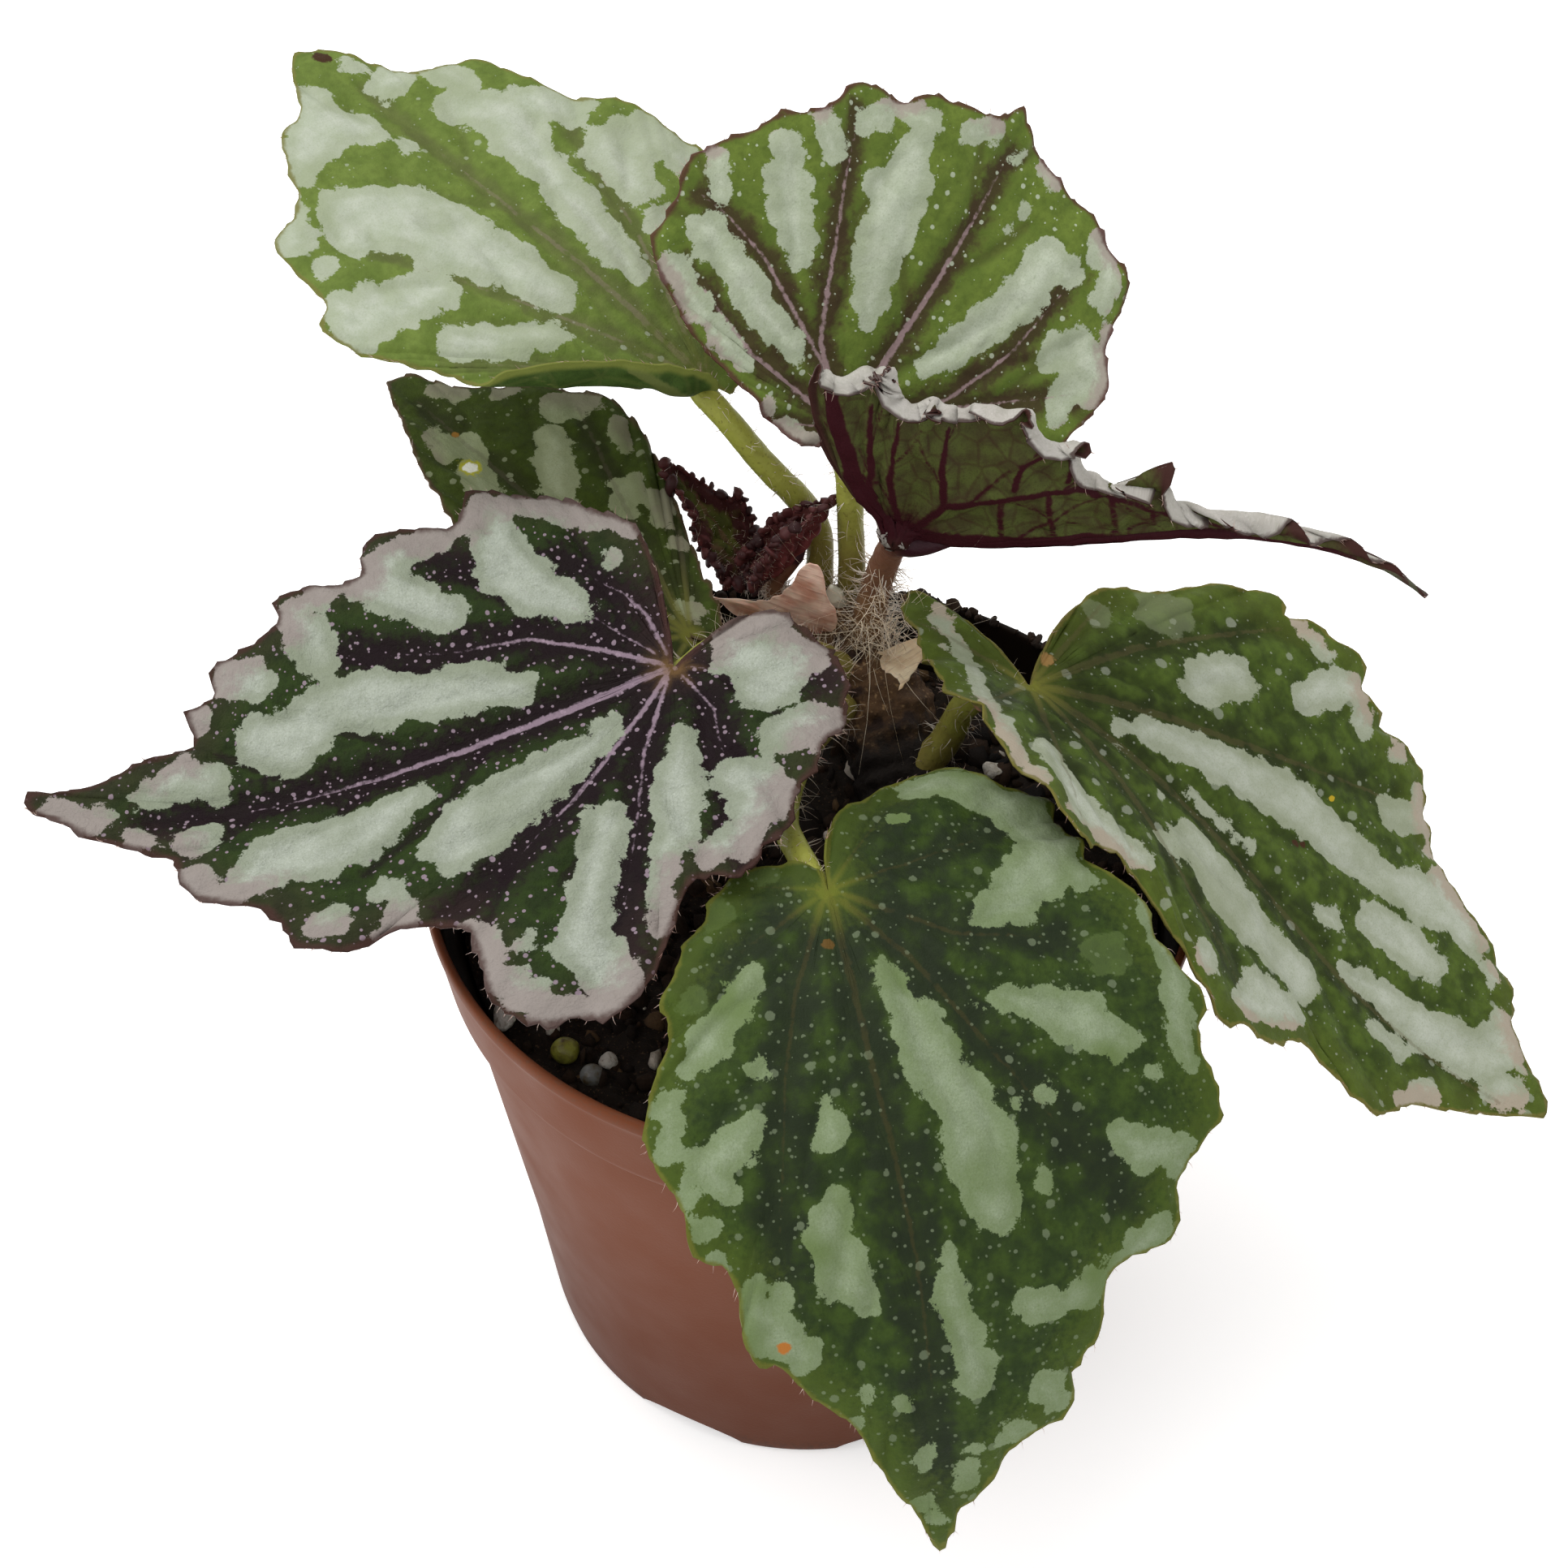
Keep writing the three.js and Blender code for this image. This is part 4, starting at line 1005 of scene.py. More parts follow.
def smooth_path(points, count):
    """A smooth curve through the points, sampled evenly along its length."""
    points = np.asarray(points, float)
    padded = np.concatenate([[2 * points[0] - points[1]], points, [2 * points[-1] - points[-2]]])
    fine = []
    for p0, p1, p2, p3 in zip(padded, padded[1:], padded[2:], padded[3:]):
        t1 = np.linalg.norm(p1 - p0) ** 0.5
        t2 = t1 + np.linalg.norm(p2 - p1) ** 0.5
        t3 = t2 + np.linalg.norm(p3 - p2) ** 0.5
        t = np.linspace(t1, t2, 24, endpoint=False)[:, None]
        a1 = (t1 - t) / t1 * p0 + t / t1 * p1
        a2 = (t2 - t) / (t2 - t1) * p1 + (t - t1) / (t2 - t1) * p2
        a3 = (t3 - t) / (t3 - t2) * p2 + (t - t2) / (t3 - t2) * p3
        b1 = (t2 - t) / t2 * a1 + t / t2 * a2
        b2 = (t3 - t) / (t3 - t1) * a2 + (t - t1) / (t3 - t1) * a3
        fine.append((t2 - t) / (t2 - t1) * b1 + (t - t1) / (t2 - t1) * b2)
    fine = np.concatenate(fine + [[points[-1]]])
    length = np.concatenate([[0], np.cumsum(np.linalg.norm(np.diff(fine, axis=0), axis=1))])
    wanted = np.linspace(0, length[-1], count)
    return np.stack([np.interp(wanted, length, fine[:, k]) for k in range(3)], -1)


def tube(points, radii, sides=20, steps=70, uneven=0.04, seed=0):
    """A closed tube along a path. Also gives the turning frames for the hairs."""
    middle = smooth_path(points, steps)
    ahead = np.gradient(middle, axis=0)
    ahead /= np.linalg.norm(ahead, axis=1)[:, None]
    side = np.cross(ahead[0], (0.3, 0.2, 1.0))
    sides_at = []
    for direction in ahead:
        side = side - direction * (side @ direction)
        side = side / np.linalg.norm(side)
        sides_at.append(side)
    sides_at = np.array(sides_at)
    ups = np.cross(ahead, sides_at)
    radius = np.interp(np.linspace(0, 1, steps), np.linspace(0, 1, len(radii)), radii)
    turns = np.arange(sides) * 2 * np.pi / sides
    spokes = sides_at[:, None] * np.cos(turns)[None, :, None] + ups[:, None] * np.sin(turns)[None, :, None]
    bumps = 1 + uneven * ripples(middle[:, None] + spokes * radius[:, None, None], 4.0, seed + 90)
    points = middle[:, None] + spokes * (radius[:, None] * bumps)[..., None]
    grid = np.arange(steps * sides).reshape(steps, sides)
    rolled = np.roll(grid, -1, axis=1)
    quads = np.stack([grid[:-1], rolled[:-1], rolled[1:], grid[1:]], -1).reshape(-1, 4)
    caps = np.concatenate([
        np.stack([np.full(sides, steps * sides), rolled[0], grid[0]], -1),
        np.stack([np.full(sides, steps * sides + 1), grid[-1], rolled[-1]], -1)])
    all_points = np.concatenate([points.reshape(-1, 3), middle[:1], middle[-1:]])
    share = np.concatenate([np.repeat(np.linspace(0, 1, steps), sides), [0, 1]])
    return {"points": all_points, "quads": quads, "caps": caps, "share": share, "spokes": spokes,
            "surface": points, "ahead": ahead}


def tube_sheet(made, finish):
    return made["points"], (made["quads"], made["caps"]), {"share": made["share"]}, finish


def tube_hairs(made, count, high, size, seed):
    """Strands that stand out of a tube, from its foot up to a share of its length."""
    rng = np.random.default_rng(seed)
    steps, sides = made["surface"].shape[:2]
    i = (rng.uniform(0.0, high, count) * (steps - 1)).astype(int)
    j = rng.integers(0, sides, count)
    directions = made["spokes"][i, j] + made["ahead"][i] * rng.normal(0, 0.4, count)[:, None]
    directions += rng.normal(0, 0.25, (count, 3))
    lengths = rng.uniform(1.2 * size, 3.0 * size, count)
    return strands(made["surface"][i, j], directions, lengths, 0.06 * size, 0.3 + 0.2 * size, seed + 1, finish=1)


print("tube ready")

# %% [markdown]
# ## The leaf finish
# Seen close, a rex begonia's leaf has five layers. The ground is green, and turns purple-black or olive along the
# veins. Silver blotches lie on it, where air under the skin scatters the light, with scalloped, ragged borders.
# Small silver dots sit between them. The edge is a thin reddish or yellowish line, and where the stalk joins, a
# yellow-green star runs out along the veins. The back is another colour altogether. Each layer is one small
# function, and a leaf's look is a list of its own colours and widths. What a look leaves out is the plain value.

# %% Noises and distances of a leaf
PLAIN_LOOK = {
    "shade": 0.85, "shade_width": 3.0, "branch": 0.35, "outer": 0.0, "outer_reach": (7.0, 1.0), "dots": 0.8,
    "dot_rate": 0.36, "dot_rare": 0.3, "dot_size": 0.24, "tiny": 0.72, "grow": 0.1, "fade": 0.5,
    "halo": 0.45, "mauve_width": 0, "line": 0.6, "line_width": 0.25, "line_broken": 0.3, "star": 0.9,
    "star_reach": 14.0, "edge_width": 0.7, "spots": (), "web": 0.5, "web_rate": 0.22, "back_width": 0.3,
    "back_star": 3.0, "bump": 0.2}


class LeafFinish(Finish):
    """A finish with the noises, distances and colours that every layer asks for. Three numbers are a colour."""

    def __init__(self, name, look, origin):
        super().__init__(name, specular=0.06)
        look = {**PLAIN_LOOK, "outer_colour": look["green_two"], "dot_colour": look["silver"],
                "silver_light": look["silver_two"], "back_edge": look["edge"], **look}
        three = [key for key, value in look.items() if isinstance(value, tuple) and len(value) == 3]
        self.look = {**look, **{key: paint(*look[key]) for key in three}}
        self.origin = origin
        self.here = self.place()
        self.coarse = self.grain(0.30, 2, 0.5, self.here)
        self.medium = self.grain(1.0, 3, 0.6, self.here)
        self.fine = self.grain(3.2, 3, 0.6, self.here)
        self.blister = self.cells(0.85)
        self.vein, self.branch = self.stored("vein"), self.stored("branch")
        self.rim, self.reach = self.stored("rim"), self.stored("reach")
        wide = self.look["shade_width"]
        self.unrest = self.ragged(self.ragged(0.0, self.medium, wide * 1.3), self.coarse, wide * 1.6)


print("looks start from", len(PLAIN_LOOK), "plain values")

# %% Ground and dots


def leaf_ground(leaf):
    """Green, darker and purpler along the veins."""
    look, wide = leaf.look, leaf.look["shade_width"]
    by_vein = leaf.math("ADD", leaf.vein, leaf.unrest)
    by_branch = leaf.add(leaf.branch, leaf.unrest, 0.35)
    by_rim = leaf.math("ADD", leaf.rim, leaf.unrest)
    ground = leaf.mix(leaf.step(leaf.coarse, 0.35, 0.65), look["green"], look["green_two"])
    ground = leaf.coat(ground, leaf.step(leaf.medium, 0.35, 0.75), 0.35, look["green_dark"])
    ground = leaf.coat(ground, leaf.step(by_vein, wide, wide * 0.15), look["shade"], look["shade_colour"])
    ground = leaf.coat(ground, leaf.step(by_branch, 1.1, 0.1), look["branch"], look["shade_colour"])
    return leaf.coat(ground, leaf.step(by_rim, *look["outer_reach"]), look["outer"], look["outer_colour"])


def dots_in_cells(leaf, rate, rare, size, soft, fray=None):
    """A round dot in the cells that draw more than `rare`, the larger the more they draw."""
    gap = leaf.cells(rate)
    if fray:
        gap = leaf.ragged(gap, fray, 0.1)
    drawn = leaf.node("SeparateColor", {0: leaf.cells(rate, "Color")})
    radius = leaf.math("MULTIPLY", leaf.math("SUBTRACT", drawn, rare), size)
    return leaf.step(leaf.math("SUBTRACT", gap, radius), 0.02, -soft)


def leaf_dots(leaf, colour):
    look = leaf.look
    large = dots_in_cells(leaf, look["dot_rate"], look["dot_rare"], look["dot_size"], 0.02, leaf.fine)
    tiny = dots_in_cells(leaf, 0.85, look["tiny"], 2 * look["dot_size"], 0.03)
    return leaf.coat(colour, leaf.math("MAXIMUM", large, tiny), look["dots"], look["dot_colour"])


print("ground and dots ready")

# %% Silver


def silver_metal(leaf):
    """The silver's own colours: clouded, grainy, darker at its border, mauve near the leaf's edge."""
    look, dark = leaf.look, leaf.look["silver_dark"]
    sparkle = leaf.grain(3.4, 3, 0.8, leaf.here)
    border = leaf.ragged(leaf.stored("silver"), leaf.medium, 2.0)
    metal = leaf.mix(leaf.step(leaf.coarse, 0.3, 0.7), look["silver"], look["silver_two"])
    metal = leaf.coat(metal, leaf.step(leaf.fine, 0.5, 0.85), 0.5, dark)
    metal = leaf.coat(metal, leaf.step(leaf.blister, 0.32, 0.62), 0.1, dark)
    metal = leaf.coat(metal, leaf.step(sparkle, 0.52, 0.68), 0.4, dark)
    metal = leaf.coat(metal, leaf.step(sparkle, 0.48, 0.32), 0.5, look["silver_light"])
    metal = leaf.coat(metal, leaf.step(leaf.grain(0.07, 2), 0.48, 0.68), look["fade"], dark)
    metal = leaf.coat(metal, leaf.step(border, 2.6, 0.6), look["halo"], dark)
    width = look["mauve_width"]
    if width:
        by_rim = leaf.add(leaf.rim, leaf.unrest, 0.8)
        metal = leaf.coat(metal, leaf.step(by_rim, width, width * 0.4), 0.9, look["mauve"])
    return metal


def leaf_silver(leaf, colour):
    """Silver blotches with scalloped borders over the colour, and dull ones under them."""
    bite = leaf.math("SUBTRACT", leaf.math("MULTIPLY", leaf.cells(0.34), -1.7), -0.85)
    for noise, amount in ((leaf.coarse, 1.8), (leaf.medium, 1.5), (leaf.fine, 1.2)):
        bite = leaf.ragged(bite, noise, amount)
    grow = leaf.look["grow"]
    silver = leaf.step(leaf.math("ADD", leaf.stored("silver"), bite), -0.12 - grow, 0.16 - grow)
    dull = leaf.step(leaf.math("ADD", leaf.stored("dull"), bite), -0.2, 0.3)
    colour = leaf.coat(colour, dull, 0.42, leaf.look["silver_dark"])
    return leaf.mix(silver, colour, silver_metal(leaf))


print("silver ready")

# %% Vein lines, star, edge and single spots


def leaf_lines(leaf, colour):
    look = leaf.look
    width, broken = look["line_width"], look["line_broken"]
    line = leaf.step(leaf.ragged(leaf.vein, leaf.medium, 0.9), width, width - 0.3)
    line = leaf.math("MULTIPLY", line, leaf.step(leaf.coarse, broken, broken + 0.12))
    colour = leaf.coat(colour, line, look["line"], look["line_colour"])
    star = leaf.math("SUBTRACT", 1.0, leaf.math("DIVIDE", leaf.reach, look["star_reach"]))
    star = leaf.math("MULTIPLY", leaf.math("MAXIMUM", star, 0.0), leaf.step(leaf.vein, 0.5, -0.4))
    star = leaf.math("MAXIMUM", star, leaf.step(leaf.add(leaf.reach, leaf.unrest, 0.3), 2.6, 0.8))
    colour = leaf.coat(colour, star, look["star"], look["star_colour"])
    edge = leaf.step(leaf.ragged(leaf.rim, leaf.medium, 0.8), look["edge_width"], 0.1)
    return leaf.coat(colour, edge, 0.85, look["edge"])


def leaf_spots(leaf, colour):
    """Single spots, each given by angle, distance, size and colour."""
    for angle, distance, size, spot_paint in leaf.look["spots"]:
        turn = math.radians(angle)
        middle = (distance * math.cos(turn) + leaf.origin[0], distance * math.sin(turn) + leaf.origin[1], 0)
        gap = leaf.node("VectorMath", {0: leaf.here, 1: middle}, "Value", operation="DISTANCE")
        gap = leaf.ragged(gap, leaf.medium, size * 1.2)
        colour = leaf.mix(leaf.step(gap, size, size * 0.7), colour, paint(*spot_paint))
    return colour


print("lines and spots ready")

# %% Back of the leaf, and its skin


def leaf_back(leaf):
    look, star = leaf.look, leaf.look["back_star"]
    web = leaf.cells(look["web_rate"], "Distance", "DISTANCE_TO_EDGE")
    web_line = leaf.step(leaf.ragged(web, leaf.medium, 0.08), 0.1, 0.02)
    line = leaf.math("MINIMUM", leaf.math("SUBTRACT", leaf.vein, look["back_width"]),
                     leaf.math("ADD", leaf.branch, 0.2))
    line = leaf.ragged(line, leaf.medium, 0.6)
    near_stalk = leaf.add(leaf.reach, leaf.unrest, 1.2)
    back = leaf.mix(leaf.step(leaf.coarse, 0.35, 0.65), look["back"], look["back_two"])
    back = leaf.coat(back, leaf.step(leaf.fine, 0.5, 0.7), 0.4, look["back_dark"])
    back = leaf.coat(back, web_line, look["web"], look["back_vein"])
    back = leaf.mix(leaf.step(line, 0.35, 0.0), back, look["back_vein"])
    back = leaf.mix(leaf.step(near_stalk, star, star * 0.4), back, look["back_vein"])
    return leaf.mix(leaf.step(leaf.rim, 1.4, 0.5), back, look["back_edge"])


def leaf_finish(name, look, origin):
    """All layers, and a satin skin that is finely blistered."""
    leaf = LeafFinish(name, look, origin)
    face = leaf_ground(leaf)
    for layer in (leaf_dots, leaf_silver, leaf_lines, leaf_spots):
        face = layer(leaf, face)
    leaf.colour(leaf.mix(leaf.step(leaf.stored("under"), 0.45, 0.55), face, leaf_back(leaf)))
    leaf.link(leaf.add(0.42, leaf.fine, 0.25), leaf.shader.inputs["Roughness"])
    height = leaf.add(leaf.math("MULTIPLY", leaf.medium, 0.7), leaf.fine, 0.35)
    leaf.bump(leaf.add(height, leaf.blister, -0.2), leaf.look["bump"])
    return leaf


print("leaf finish ready")

# %% [markdown]
# The stalks are yellow-green, with darker specks and streaks along them, and some turn brown towards the stem.

# %% Stalk finish


def stalk_finish(name, top, foot, speck_colour, joint=None):
    finish = Finish(name, roughness=0.42, specular=0.2)
    share = finish.stored("share")
    body = finish.mix(finish.step(finish.ragged(share, finish.grain(0.25, 2), 0.5), 0.1, 0.6), foot, top)
    body = finish.coat(body, finish.step(finish.grain(1.7, 3, 0.6), 0.58, 0.68), 0.55, speck_colour)
    body = finish.coat(body, finish.step(finish.grain(0.6, 2), 0.5, 0.8), 0.3, speck_colour)
    if joint:
        body = finish.mix(finish.step(share, 0.66, 0.78), body, joint)
    finish.colour(body)
    finish.bump(finish.grain(1.5, 3), 0.16)
    finish.glow(0.08, (0.002, 0.003, 0.001))
    return finish


GREEN_STALK = stalk_finish("green_stalk", paint(150, 152, 66), paint(128, 118, 58), paint(96, 84, 40))
BROWN_STALK = stalk_finish(
    "brown_stalk", paint(112, 74, 56), paint(128, 98, 68), paint(84, 58, 40), joint=paint(50, 20, 28))
print("stalk finishes ready")

# %% [markdown]
# ## One function for a grown leaf
# It makes the blade, the stalk with its hairs and the bristles on the edge, as two pieces: the leaf itself, which
# stands for the CAD node, and its hairs, which ride along.
#
# Each leaf below is a list of what was measured on the photograph. `at` is where the stalk joins, in millimetres.
# `heading`, `pitch` and `roll` say in degrees how the midrib runs from base to tip, `fold` and `curl` how the
# two halves bend away from it. `outline` goes round the edge by angle and distance from the stalk. A bead of a
# vein or of a silver blotch is an angle, a distance and a half width. Each look is a list of colours and widths.

# %% Leaf maker
INTO_MIDRIB = 7.5  # how far a stalk runs on under the midrib, in millimetres


def leaf_stalk(leaf, seed):
    """The stalk, and which share of its length lies before the blade."""
    path, radii = [np.array(p, float) for p in leaf["stalk"]], leaf["stalk_radius"]
    thin = radii[-1]
    depths = np.array([thin + 0.25, thin * 0.75 + 0.3, 0.8])
    join = list(under_midrib(leaf, np.array([0.0, 3.5, INTO_MIDRIB]), depths))
    path[-1] = join[0]
    length = np.linalg.norm(np.diff(np.array(path), axis=0), axis=1).sum()
    along = [radii[0], radii[0] * 0.6 + thin * 0.4, thin * 1.05, thin, thin, thin * 0.25]
    return tube(path + join[1:], along, seed=seed), length / (length + INTO_MIDRIB)


def edge_bristles(made, count, seed):
    rng = np.random.default_rng(seed)
    pick = rng.integers(2, len(made["edge"]) - 2, count)
    outward = made["outward"][pick]
    lean = outward / np.linalg.norm(outward, axis=1)[:, None] + rng.normal(0, 0.35, (count, 3))
    lean = lean + made["normals"][pick, -1] * rng.uniform(-0.1, 0.5, (count, 1))
    return strands(made["edge"][pick], lean, rng.uniform(0.4, 1.2, count), 0.05, 0.35, seed + 1)


def grow_leaf(name, leaf, look, seed, stalk_paint=GREEN_STALK, stalk_hairs=160, hair_high=0.95,
              hair_size=1.0, bristles=130, spokes=320, rings=58):
    finish = leaf_finish(name + "_skin", look, seed * PATTERN_STEP)
    made = blade(leaf, seed, spokes, rings)
    stalk, share = leaf_stalk(leaf, seed)
    make_piece(name + "_grown", [made["sheet"], tube_sheet(stalk, 1)], [finish, stalk_paint], name)
    hairs = tube_hairs(stalk, stalk_hairs, hair_high * share, hair_size, seed + 502)
    make_piece(name + "_hairs", [edge_bristles(made, bristles, seed + 500), hairs], [pink_hair, pale_hair])
    return made


print("leaf maker ready")

# %% [markdown]
# ## The front leaf
# It hangs over the front of the pot. Dark green, with an olive-black shade along the veins, dull grey-green
# silver and a yellow-green star at the stalk.

# %% Front leaf
FRONT = dict(
    at=(2.2, -24.5, 109), heading=(-76, -74, -74), pitch=(-7, -47, -79), roll=(0, 0),
    fold=((-2, -4), (-2, -4)), curl=(-0.3, -0.3), length=88, wave=(0.6, 9),
    stalk=[(5, 27, 92), (-1, 10, 99), (-3.4, -8, 104.4), (-1.4, -17, 107.2), (2.2, -24.5, 109)],
    stalk_radius=(2.1, 1.7), quilt=0.8, teeth=(4.0, 0.45),
    outline=[
        (-176, 4), (-143, 7), (-117, 12), (-97, 15), (-81, 19), (-66, 25), (-58, 28), (-50.5, 35.2),
        (-42.5, 41.8), (-35.5, 43.9), (-31, 48.1), (-25, 50.9), (-22.5, 56), (-20, 59.5), (-17, 59.3),
        (-15, 60.7), (-12, 65), (-9, 68), (-6.5, 72.6), (-4.5, 77), (-2, 81.4), (-1, 85.2), (0, 88.3),
        (1, 85.8), (2, 82.5), (4.5, 81.2), (7, 77.9), (10, 75.7), (14, 73.4), (16, 68), (20, 66.5),
        (25.5, 61.9), (32.5, 62.6), (37.5, 59.8), (42, 58.9), (49, 56.7), (56.5, 52.3), (63, 50), (73, 44),
        (84, 39), (96, 34), (113, 35), (127, 30), (138, 28), (148, 20), (159, 15), (172, 5)],
    veins=[
        [(0, 0, 0.7), (0, 23, 0.5), (1, 47, 0.35), (0, 82, 0.1)],
        [(36, 2, 0.6), (36, 14, 0.5), (32, 29, 0.4), (32, 55, 0.1)],
        [(60, 2, 0.5), (60, 17, 0.4), (69, 30, 0.1)], [(105, 1, 0.4), (105, 17, 0.3), (108, 30, 0.1)],
        [(-36, 2, 0.5), (-29, 15, 0.4), (-25, 25, 0.3), (-19, 50, 0.1)], [(-65, 2, 0.4), (-65, 20, 0.1)],
        [(-110, 1, 0.3), (-110, 11, 0.1)], [(142, 1, 0.4), (140, 22, 0.1)]],
    silver=[
        [(19.3, 13.2, 1.3), (19, 18.5, 2.5), (17, 24.8, 3.5), (19, 31.7, 3.7), (17, 38, 4.8),
         (15.3, 44, 3.6)], [(5.7, 47.7, 1.1), (4.5, 52.7, 2.1), (5.3, 59, 2.3), (5.4, 64, 2.7)],
        [(44.6, 24.6, 1.1), (48, 29, 2.8), (50.4, 35.3, 3.8), (50.3, 41, 2.5)],
        [(37.8, 47.5, 1.5), (38, 51.5, 2.7), (41, 54.7, 2.5), (39.6, 58.4, 1.5)],
        [(79.5, 41, 1.3), (69, 45, 1.9), (59.6, 46.8, 2.3), (53.4, 50.3, 1.7)],
        [(32.7, 61, 1.9), (29.2, 61, 2.5)], [(22, 60.7, 2.5), (17.5, 59.6, 1.5), (14, 58, 2.3)],
        [(12.3, 69, 2.1), (12.9, 71.8, 1.5)], [(8, 73.2, 2.1)], [(3, 79, 1.5)], [(-1, 73.7, 1.7)],
        [(-1.3, 81.5, 1.3)],
        [(138, 22, 2.1), (128, 26.5, 3.1), (112, 30, 3.9), (97, 30.6, 3.3), (87, 26.7, 4.1), (79, 23.3, 3.5),
         (71.5, 19.5, 1.7)], [(86, 32.3, 1.9)], [(131, 15.3, 1.2)], [(-13.3, 28.3, 1.2), (-12, 31.3, 2.1)],
        [(-10.7, 38, 1.2), (-12.3, 42, 2.9), (-10, 48, 3.1), (-6.5, 51.6, 1.5)],
        [(-22.4, 51.4, 2.1), (-19.3, 55.6, 3.1), (-14.6, 58, 2.3)],
        [(-53, 14.4, 1.3), (-49.5, 19, 2.1), (-48.6, 24.5, 2.7), (-49, 28.5, 1.5)], [(-32, 25, 1.4)],
        [(-29.5, 31, 1.2), (-31.5, 35.2, 2.7), (-35.3, 38.2, 2.5), (-30.4, 40, 1.7)],
        [(-47.6, 33.3, 1.4), (-42, 38.7, 1.5)], [(34, 36.8, 1.1)], [(24, 45, 1.1)], [(-31, 44.9, 1.6)],
        [(-28, 48.9, 1.4)], [(-36, 42.5, 1.2)], [(-19, 51, 1.8)], [(3, 77, 1.5)], [(0, 84, 1.1)],
        [(-3, 65.5, 1)], [(-47, 35, 1.8)], [(48, 46.1, 1)], [(27, 35.5, 0.9)], [(-8, 68, 1.1)],
        [(-7, 63.3, 0.8)], [(4, 73.2, 0.8)], [(26, 60.5, 1.6)], [(-44, 37, 1)], [(38, 24, 0.7)]],
    dull=[
        [(67, 36, 3.2)], [(-125, 9, 1.8)], [(-90, 14, 2.1)], [(-60, 22, 2)]])
FRONT_LOOK = dict(
    green=(44, 58, 29), green_two=(57, 74, 31), green_dark=(24, 32, 17), shade_colour=(34, 40, 29),
    shade=0.75, shade_width=5, branch=0.2, outer_colour=(76, 92, 32), outer=0.55, dots=0.42, dot_rate=0.27,
    dot_rare=0.45, dot_size=0.3, tiny=0.62, silver=(126, 138, 110), silver_two=(136, 148, 122),
    silver_dark=(92, 110, 62), silver_light=(150, 166, 132), fade=0.8, line_colour=(74, 64, 36), line=0.3,
    line_width=0.0, star_colour=(122, 126, 44), star=0.5, star_reach=7, edge=(98, 100, 40),
    spots=[(-16.7, 57.4, 0.9, (164, 104, 48)), (-14, 7.5, 0.8, (92, 70, 34))], back=(110, 118, 80),
    back_two=(122, 100, 74), back_dark=(92, 84, 60), back_vein=(130, 96, 70), web=0.3)
grow_leaf("leaf_front", FRONT, FRONT_LOOK, 1)

# %% [markdown]
# ## The left leaf
# The most colourful one: a purple-black middle with pink-silver veins, mint silver that turns mauve-grey towards
# the edge, and a sprinkling of small pinkish dots.

